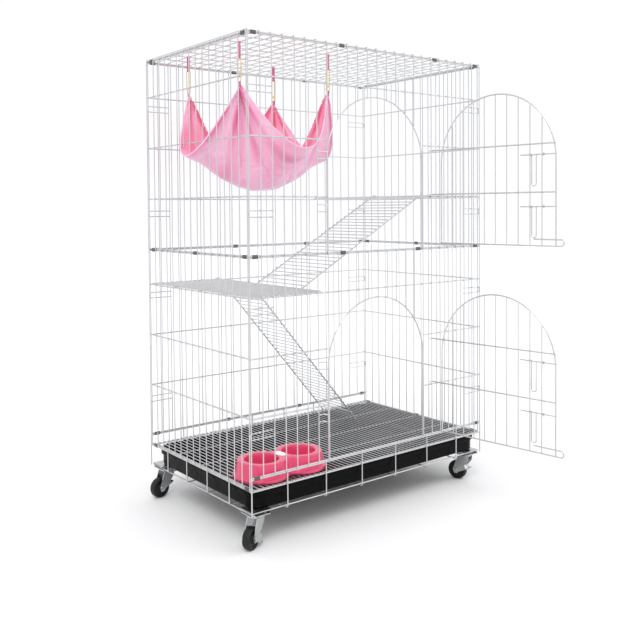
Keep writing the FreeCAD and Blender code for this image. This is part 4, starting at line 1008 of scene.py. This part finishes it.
def pleats(u, v):
    """Height of the gathers, summed over the corners.

    It is pleat * cos(turns * direction) * exp(-far / fade) * (1 - exp(-far / start)), where far
    and direction are the distance and the angle from a corner of the flat cloth.
    """
    height = np.zeros_like(u)
    for su in (-1, 1):
        for sv in (-1, 1):
            du, dv = (1 - su * u) * CUT / 2, (1 - sv * v) * CUT / 2
            far = np.hypot(du, dv)
            fan = PLEAT * np.cos(PLEAT_TURNS * np.arctan2(dv, du))
            height += fan * np.exp(-far / PLEAT_FADE) * (1 - np.exp(-far / PLEAT_START))
    return height


def finer(p):
    """One more point between each pair, in both directions, on the cubic through four points.

    Between b and c of a, b, c, d it is (9 * (b + c) - a - d) / 16.
    """
    for _ in range(2):
        wide = np.concatenate([2 * p[:1] - p[1:2], p, 2 * p[-1:] - p[-2:-1]])
        middle = (9 * (wide[1:-2] + wide[2:-1]) - wide[:-3] - wide[3:]) / 16
        out = np.empty((2 * len(p) - 1, *p.shape[1:]))
        out[0::2], out[1::2] = p, middle
        p = out.swapaxes(0, 1)
    return p


print("3 points in a row become", len(finer(np.zeros((3, 3, 3)))))

# %% [markdown]
# The simulated sheet has no thickness. A double grid gives it one: each point moves half the
# thickness along its normal, up for the lining and down for the outer face. A point attribute
# says how deep in the pleats a point lies, and the satin darkens the valleys by it as painted shade.

# %% Hammock cloth
def hammock_cloth(thick=0.0022):
    """(points, faces, uv) of the closed cloth: lining first and then the outer face."""
    p = finer(hung)
    count = len(p) - 1
    t = np.linspace(-1, 1, count + 1)
    u, v = np.meshgrid(t, t, indexing="ij")
    normal = grid_normals(p)
    p = p + normal * pleats(u, v)[..., None]
    middle = ((HANG_X[0] + HANG_X[1]) / 2, 0, CLOTH_TOP - 0.0012)
    swell = thick / 2 * (1 - 0.5 * np.maximum(abs(u), abs(v))[..., None] ** 40)
    lining, outer = p + normal * swell + middle, p - normal * swell + middle
    size = (count + 1) ** 2
    inside = np.array(grid_faces(count + 1, count + 1, wrap_columns=False))
    k = np.arange(size).reshape(count + 1, count + 1)
    edge = np.r_[k[0, :], k[1:, -1], k[-1, -2::-1], k[-2:0:-1, 0]]
    on = np.roll(edge, -1)
    rim = np.stack([edge, on, on + size, edge + size], -1)
    faces = np.vstack([inside, inside[:, ::-1] + size, rim])
    uv = np.stack([u, v], -1).reshape(-1, 2) * CUT / 2
    points = np.vstack([lining.reshape(-1, 3), outer.reshape(-1, 3)])
    # painted shade: how deep in a pleat's valley each point lies, for the satin to darken it
    depth = np.clip(pleats(u, v) / 0.0030, -1, 1).ravel()
    painted_fold_shade = np.r_[np.clip(depth, 0, 1), np.clip(-depth, 0, 1)] ** 1.5
    return points, faces.tolist(), np.vstack([uv, uv]), edge, p + middle, painted_fold_shade


points, faces, cloth_uv, edge, sheet_points, painted_fold_shade = hammock_cloth()
hammock = mesh_piece("hammock_satin", [(points, outward(points, faces))], lining_satin_with_painted_shade, 80)
hammock.data.materials.append(outer_satin)
each_side = (len(faces) - len(edge)) // 2
slots = np.r_[np.zeros(each_side, int), np.ones(len(faces) - each_side, int)]
hammock.data.polygons.foreach_set("material_index", slots)
with_uv(hammock, cloth_uv)
# the painted shade of the pleats' valleys, stored as a point attribute
hammock.data.attributes.new("painted_fold_shade", "FLOAT", "POINT").data.foreach_set("value", painted_fold_shade)
stand_for(hammock, "cage", "hammock_cloth", "hammock_cloth")
rim_path = sheet_points.reshape(-1, 3)[edge]
print("hammock", len(hammock.data.polygons), "faces")

# %% [markdown]
# The hem is a thin roll all round the cloth's edge. The same closed roll makes the rings later.

# %% Hem
def hem_roll(path, radius=0.0017, sides=8):
    """A closed roll: path + radius * (cos a * side + sin a * lift), puffed a little, with UV."""
    along = np.roll(path, -1, axis=0) - np.roll(path, 1, axis=0)
    along /= np.linalg.norm(along, axis=1)[:, None]
    side = np.cross(along, (0, 0, 1.0)) + (1e-5, 0, 0)
    side /= np.linalg.norm(side, axis=1)[:, None]
    lift = np.cross(side, along)
    a = np.arange(sides) * (2 * np.pi / sides)
    puff = radius * (1 + 0.12 * np.sin(np.arange(len(path)) * 1.9))[:, None, None]
    ring = np.cos(a)[:, None] * side[:, None] + np.sin(a)[:, None] * lift[:, None]
    points = (path[:, None] + puff * ring).reshape(-1, 3)
    run = np.cumsum(np.linalg.norm(np.diff(path, axis=0, prepend=path[-1:]), axis=1))
    uv = np.stack([np.repeat(run, sides), np.tile(a * radius, len(path))], -1)
    faces = grid_faces(len(path), sides, wrap_rows=True)
    return (points, outward(points, faces)), uv


roll, roll_uv = hem_roll(rim_path)
hem = mesh_piece("hammock_hem", [roll], hem_satin, 80)
with_uv(hem, roll_uv)
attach(hem, "cage")
print("hem", len(hem.data.polygons), "faces")

# %% [markdown]
# Each corner hangs from the roof by a webbing loop, a long brass clasp and a ring. The webbing is
# a flat band on a racetrack path, and a tab of it holds the ring to the cloth.

# %% Webbing
def webbing(name, color):
    """Ribbed band on UV in metres: ribs along the band, crossed by finer threads."""
    finish = Finish(name, color, 0.6, 0.0, Sheen_Weight=0.35, Sheen_Roughness=0.5)
    _, along, across = finish.uv()
    ribs, threads = finish.sine(across * 6000), finish.sine(along * 9000)
    finish.set(Base_Color=finish.blend(ribs * 0.25 + 0.3, color, tuple(c * 0.55 for c in color)))
    finish.bump(ribs * 0.6 + threads * 0.4, 0.0003, 0.6)
    return finish.material


band_finish = webbing("pink_webbing", (0.78, 0.16, 0.33))


def band(top, low, inner, thick, wide, along_x=True):
    """A flat band round two bars: a racetrack of two half circles, with a rounded section."""
    radius = inner + thick / 2
    t = np.linspace(0, np.pi, 13)
    over = np.stack([radius * np.cos(t), radius * np.sin(t)], -1)
    flat = np.vstack([over, [(-radius, (low[2] - top[2]) * f) for f in (0.33, 0.66)],
                      -over + (0, low[2] - top[2]),
                      [(radius, (low[2] - top[2]) * f) for f in (0.66, 0.33)]])
    ahead = np.roll(flat, -1, 0) - np.roll(flat, 1, 0)
    ahead /= np.linalg.norm(ahead, axis=1)[:, None]
    out = np.stack([ahead[:, 1], -ahead[:, 0]], -1)
    h, w = thick / 2, wide / 2
    section = [(h, w * 0.9), (h, 0), (h, -w * 0.9), (h * 0.5, -w), (-h * 0.5, -w), (-h, -w * 0.9),
               (-h, 0), (-h, w * 0.9), (-h * 0.5, w), (h * 0.5, w)]
    rows = [np.column_stack([flat + out * a, np.full(len(flat), b)]) for a, b in section]
    grid = np.stack(rows, 1)
    order = (2, 0, 1) if along_x else (0, 2, 1)
    points = grid.reshape(-1, 3)[:, order] + top
    run = np.cumsum(np.linalg.norm(np.diff(flat, axis=0, prepend=flat[-1:]), axis=1))
    uv = np.stack([np.repeat(run, len(section)), np.tile([b for _, b in section], len(flat))], -1)
    return (points, outward(points, grid_faces(len(flat), len(section), wrap_rows=True))), uv


print("webbing ready")

# %% [markdown]
# The same lines make all four corners: a strap round the roof's wire, a clasp from the strap down
# to the ring, the ring, and the tab round it.

# %% Straps, clasps and rings
RING, RING_WIRE = 0.007, 0.0011
STRAP_FOOT = ROOF_WIRE - 0.034
bands, band_uv, clasps, rings = [], [], [], []
ring_level = CLOTH_TOP + CLEAR + RING_WIRE + RING
for x in HANG_X:
    for y in HANG_Y:
        for made, uv in (band((x, y, ROOF_WIRE), (x, y, STRAP_FOOT), 0.0016, 0.001, 0.006),
                         band((x, y, ring_level - RING), (x, y, ring_level - 0.0155), 0.0013,
                              0.0008, 0.007, along_x=False)):
            bands.append(made)
            band_uv.append(uv)
        high, low = STRAP_FOOT - 0.0002, ring_level + 0.0045
        clasps.append(tube(bent([(x + 0.0004, y, high), (x + 0.005, y, high), (x + 0.005, y, low),
                                 (x - 0.005, y, low), (x - 0.005, y, high),
                                 (x - 0.0004, y, high)], 0.0018), RING_WIRE))
        turn = arc((x, y, ring_level), RING, 0, 360, (0, 1, 0), (0, 0, 1), 48)[:-1]
        rings.append(hem_roll(turn + (1e-7, 0, 0), RING_WIRE, 12)[0])
straps = mesh_piece("hammock_webbing", bands, band_finish, 60)
with_uv(straps, np.vstack(band_uv))
stand_for(straps, "cage", "strap_webbing", "hammock_straps")
stand_for(mesh_piece("hammock_clasp_wires", clasps, brass_finish), "cage", "ring_brass",
          "hammock_clasps")
stand_for(mesh_piece("hammock_ring_wires", rings, brass_finish, 60), "cage", "ring_brass",
          "hammock_rings")
print(len(bands), "bands,", len(clasps), "clasps and", len(rings), "rings")

# %% [markdown]
# Pressed steel has no sharp edge: the press rolls each one over by a few tenths. So the fork,
# plate, lever and clip of the CAD frame are copied, their loose triangles joined to large faces,
# and a Bevel modifier rounds the edges. The frame's own meshes stay as they are.

# %% Pressed pieces
def pressed(node, body, slot, finish, width, extra=None):
    """A copy of a CAD node with merged faces and small rolled edges."""
    mesh = bpy.data.meshes.new(node + "_pressed")
    shape = bmesh.new()
    shape.from_mesh(frame["nodes"][node].data)
    bmesh.ops.remove_doubles(shape, verts=shape.verts, dist=1e-6)
    bmesh.ops.dissolve_limit(shape, angle_limit=math.radians(1.0), verts=shape.verts,
                             edges=shape.edges)
    shape.to_mesh(mesh)
    shape.free()
    mesh.materials.clear()
    mesh.materials.append(finish)
    thing = bpy.data.objects.new(node + "_pressed", mesh)
    bpy.context.scene.collection.objects.link(thing)
    mesh.shade_smooth()
    mesh.set_sharp_from_angle(angle=math.radians(40))
    rounding = thing.modifiers.new("rolled_edges", "BEVEL")
    rounding.width, rounding.segments, rounding.angle_limit = width, 2, math.radians(40)
    rounding.use_clamp_overlap = True
    if extra:
        extra(mesh)
    return stand_for(thing, body, slot, node)


CORNERS = ("front_left", "front_right", "rear_left", "rear_right")
joints = {joint["name"]: joint for joint in frame["joints"]}


TAB_START = 0.0325  # distance from the axle at which a lever's black tab begins


def black_tip(corner):
    """A painter for a lever's faces: those farther than the tab's start become plastic."""
    centre = np.array(joints[f"{corner}_wheel_spin"]["pos_m"])

    def paint(mesh):
        mesh.materials.append(tab_finish)
        middles = np.empty(len(mesh.polygons) * 3)
        mesh.polygons.foreach_get("center", middles)
        far = np.linalg.norm(middles.reshape(-1, 3) - centre, axis=1)
        mesh.polygons.foreach_set("material_index", (far > TAB_START).astype(int))
    return paint


for corner in CORNERS:
    for name, body, width in (("plate", "cage", 0.0004), ("fork", f"{corner}_fork", 0.0005),
                              ("axle", f"{corner}_fork", 0.0005)):
        pressed(f"{corner}_caster_{name}", body, "zinc_steel", sheet_finish, width)
    pressed(f"{corner}_brake_lever", f"{corner}_brake", "zinc_steel", sheet_finish, 0.0003,
            black_tip(corner))
for node in ("caster_clamp_plates", "caster_screws"):
    pressed(node, "cage", "zinc_steel", sheet_finish, 0.0003)
for node in ("base_clips", "middle_clips", "roof_clips"):
    pressed(node, "cage", "clip_steel", clip_finish, 0.0002)
print("plates, forks, axles, levers, screws and clips pressed")

# %% [markdown]
# A caster wheel is turned: a closed profile of (axial place, radius) goes once round the axle.
# The tread is crowned, the shoulders are round, and the web behind the hub is recessed.

# %% Wheels
def turned_wheel(centre, axle, around=72):
    """centre + x * axle + r * (cos a * u + sin a * v) for each (x, r) of the closed profile."""
    half = [(0.0090, 0.0044), (0.0090, 0.0082), (0.0085, 0.0088), (0.0062, 0.0096),
            (0.0056, 0.0108), (0.0056, 0.0168), (0.0062, 0.0180), (0.0080, 0.0187),
            (0.0088, 0.0195), (0.0090, 0.0206), (0.0089, 0.0222), (0.0082, 0.0237),
            (0.0068, 0.0245), (0.0048, 0.0249), (0.0020, 0.0250)]
    profile = np.array(half + [(-x, r) for x, r in half[::-1]])
    axle = np.asarray(axle, float) / np.linalg.norm(axle)
    u = np.cross(axle, (0, 0, 1.0))
    u /= np.linalg.norm(u)
    v = np.cross(axle, u)
    a = np.arange(around) * (2 * np.pi / around)
    spoke = np.cos(a)[:, None] * u + np.sin(a)[:, None] * v
    points = (np.asarray(centre) + profile[:, 0, None, None] * axle
              + profile[:, 1, None, None] * spoke[None]).reshape(-1, 3)
    return points, outward(points, grid_faces(len(profile), around, wrap_rows=True))


for corner in CORNERS:
    spin = joints[f"{corner}_wheel_spin"]
    wheel = mesh_piece(f"{corner}_wheel_turned", [turned_wheel(spin["pos_m"], spin["axis"])],
                       rubber_finish, 35)
    stand_for(wheel, f"{corner}_wheel", "wheel_rubber", f"{corner}_caster_wheel")
print("four wheels turned")

# %% [markdown]
# The stage is a plain white floor under a bright even sky. A wide soft sun lights it from the
# front left, and a weaker, wider one from the right. The Standard view keeps white white and
# black black, which suits pale wire on white.

# %% Stage
bpy.context.scene.view_settings.view_transform = "Standard"


def pale_floor(size=24):
    """A square of pale matt floor about the origin."""
    half = size / 2
    mesh = bpy.data.meshes.new("floor")
    mesh.from_pydata([(-half, -half, 0), (half, -half, 0), (half, half, 0), (-half, half, 0)], [],
                     [(0, 1, 2, 3)])
    floor = bpy.data.objects.new("floor", mesh)
    bpy.context.scene.collection.objects.link(floor)
    pale = Finish("pale_floor", (0.86, 0.86, 0.86), 0.7, 0.0, Specular_IOR_Level=0.1)
    mesh.materials.append(pale.material)


def soft_sun(name, toward, strength, angle):
    """A sun that shines along a direction. The wider its angle, the softer its shadows."""
    light = bpy.data.lights.new(name, "SUN")
    light.energy, light.angle = strength, math.radians(angle)
    lamp = bpy.data.objects.new(name, light)
    bpy.context.scene.collection.objects.link(lamp)
    lamp.rotation_euler = Vector(toward).to_track_quat("-Z", "Y").to_euler()


pale_floor()
world = bpy.data.worlds.new("studio")
world.use_nodes = True
sky = world.node_tree.nodes["Background"].inputs
sky[0].default_value, sky[1].default_value = (0.98, 0.985, 1.0, 1), 1.04
bpy.context.scene.world = world
soft_sun("key_sun", (0.55, 0.62, -1.0), 1.1, 24)
soft_sun("fill_sun", (-0.9, 0.5, -0.6), 0.35, 40)
print("stage and lights ready")
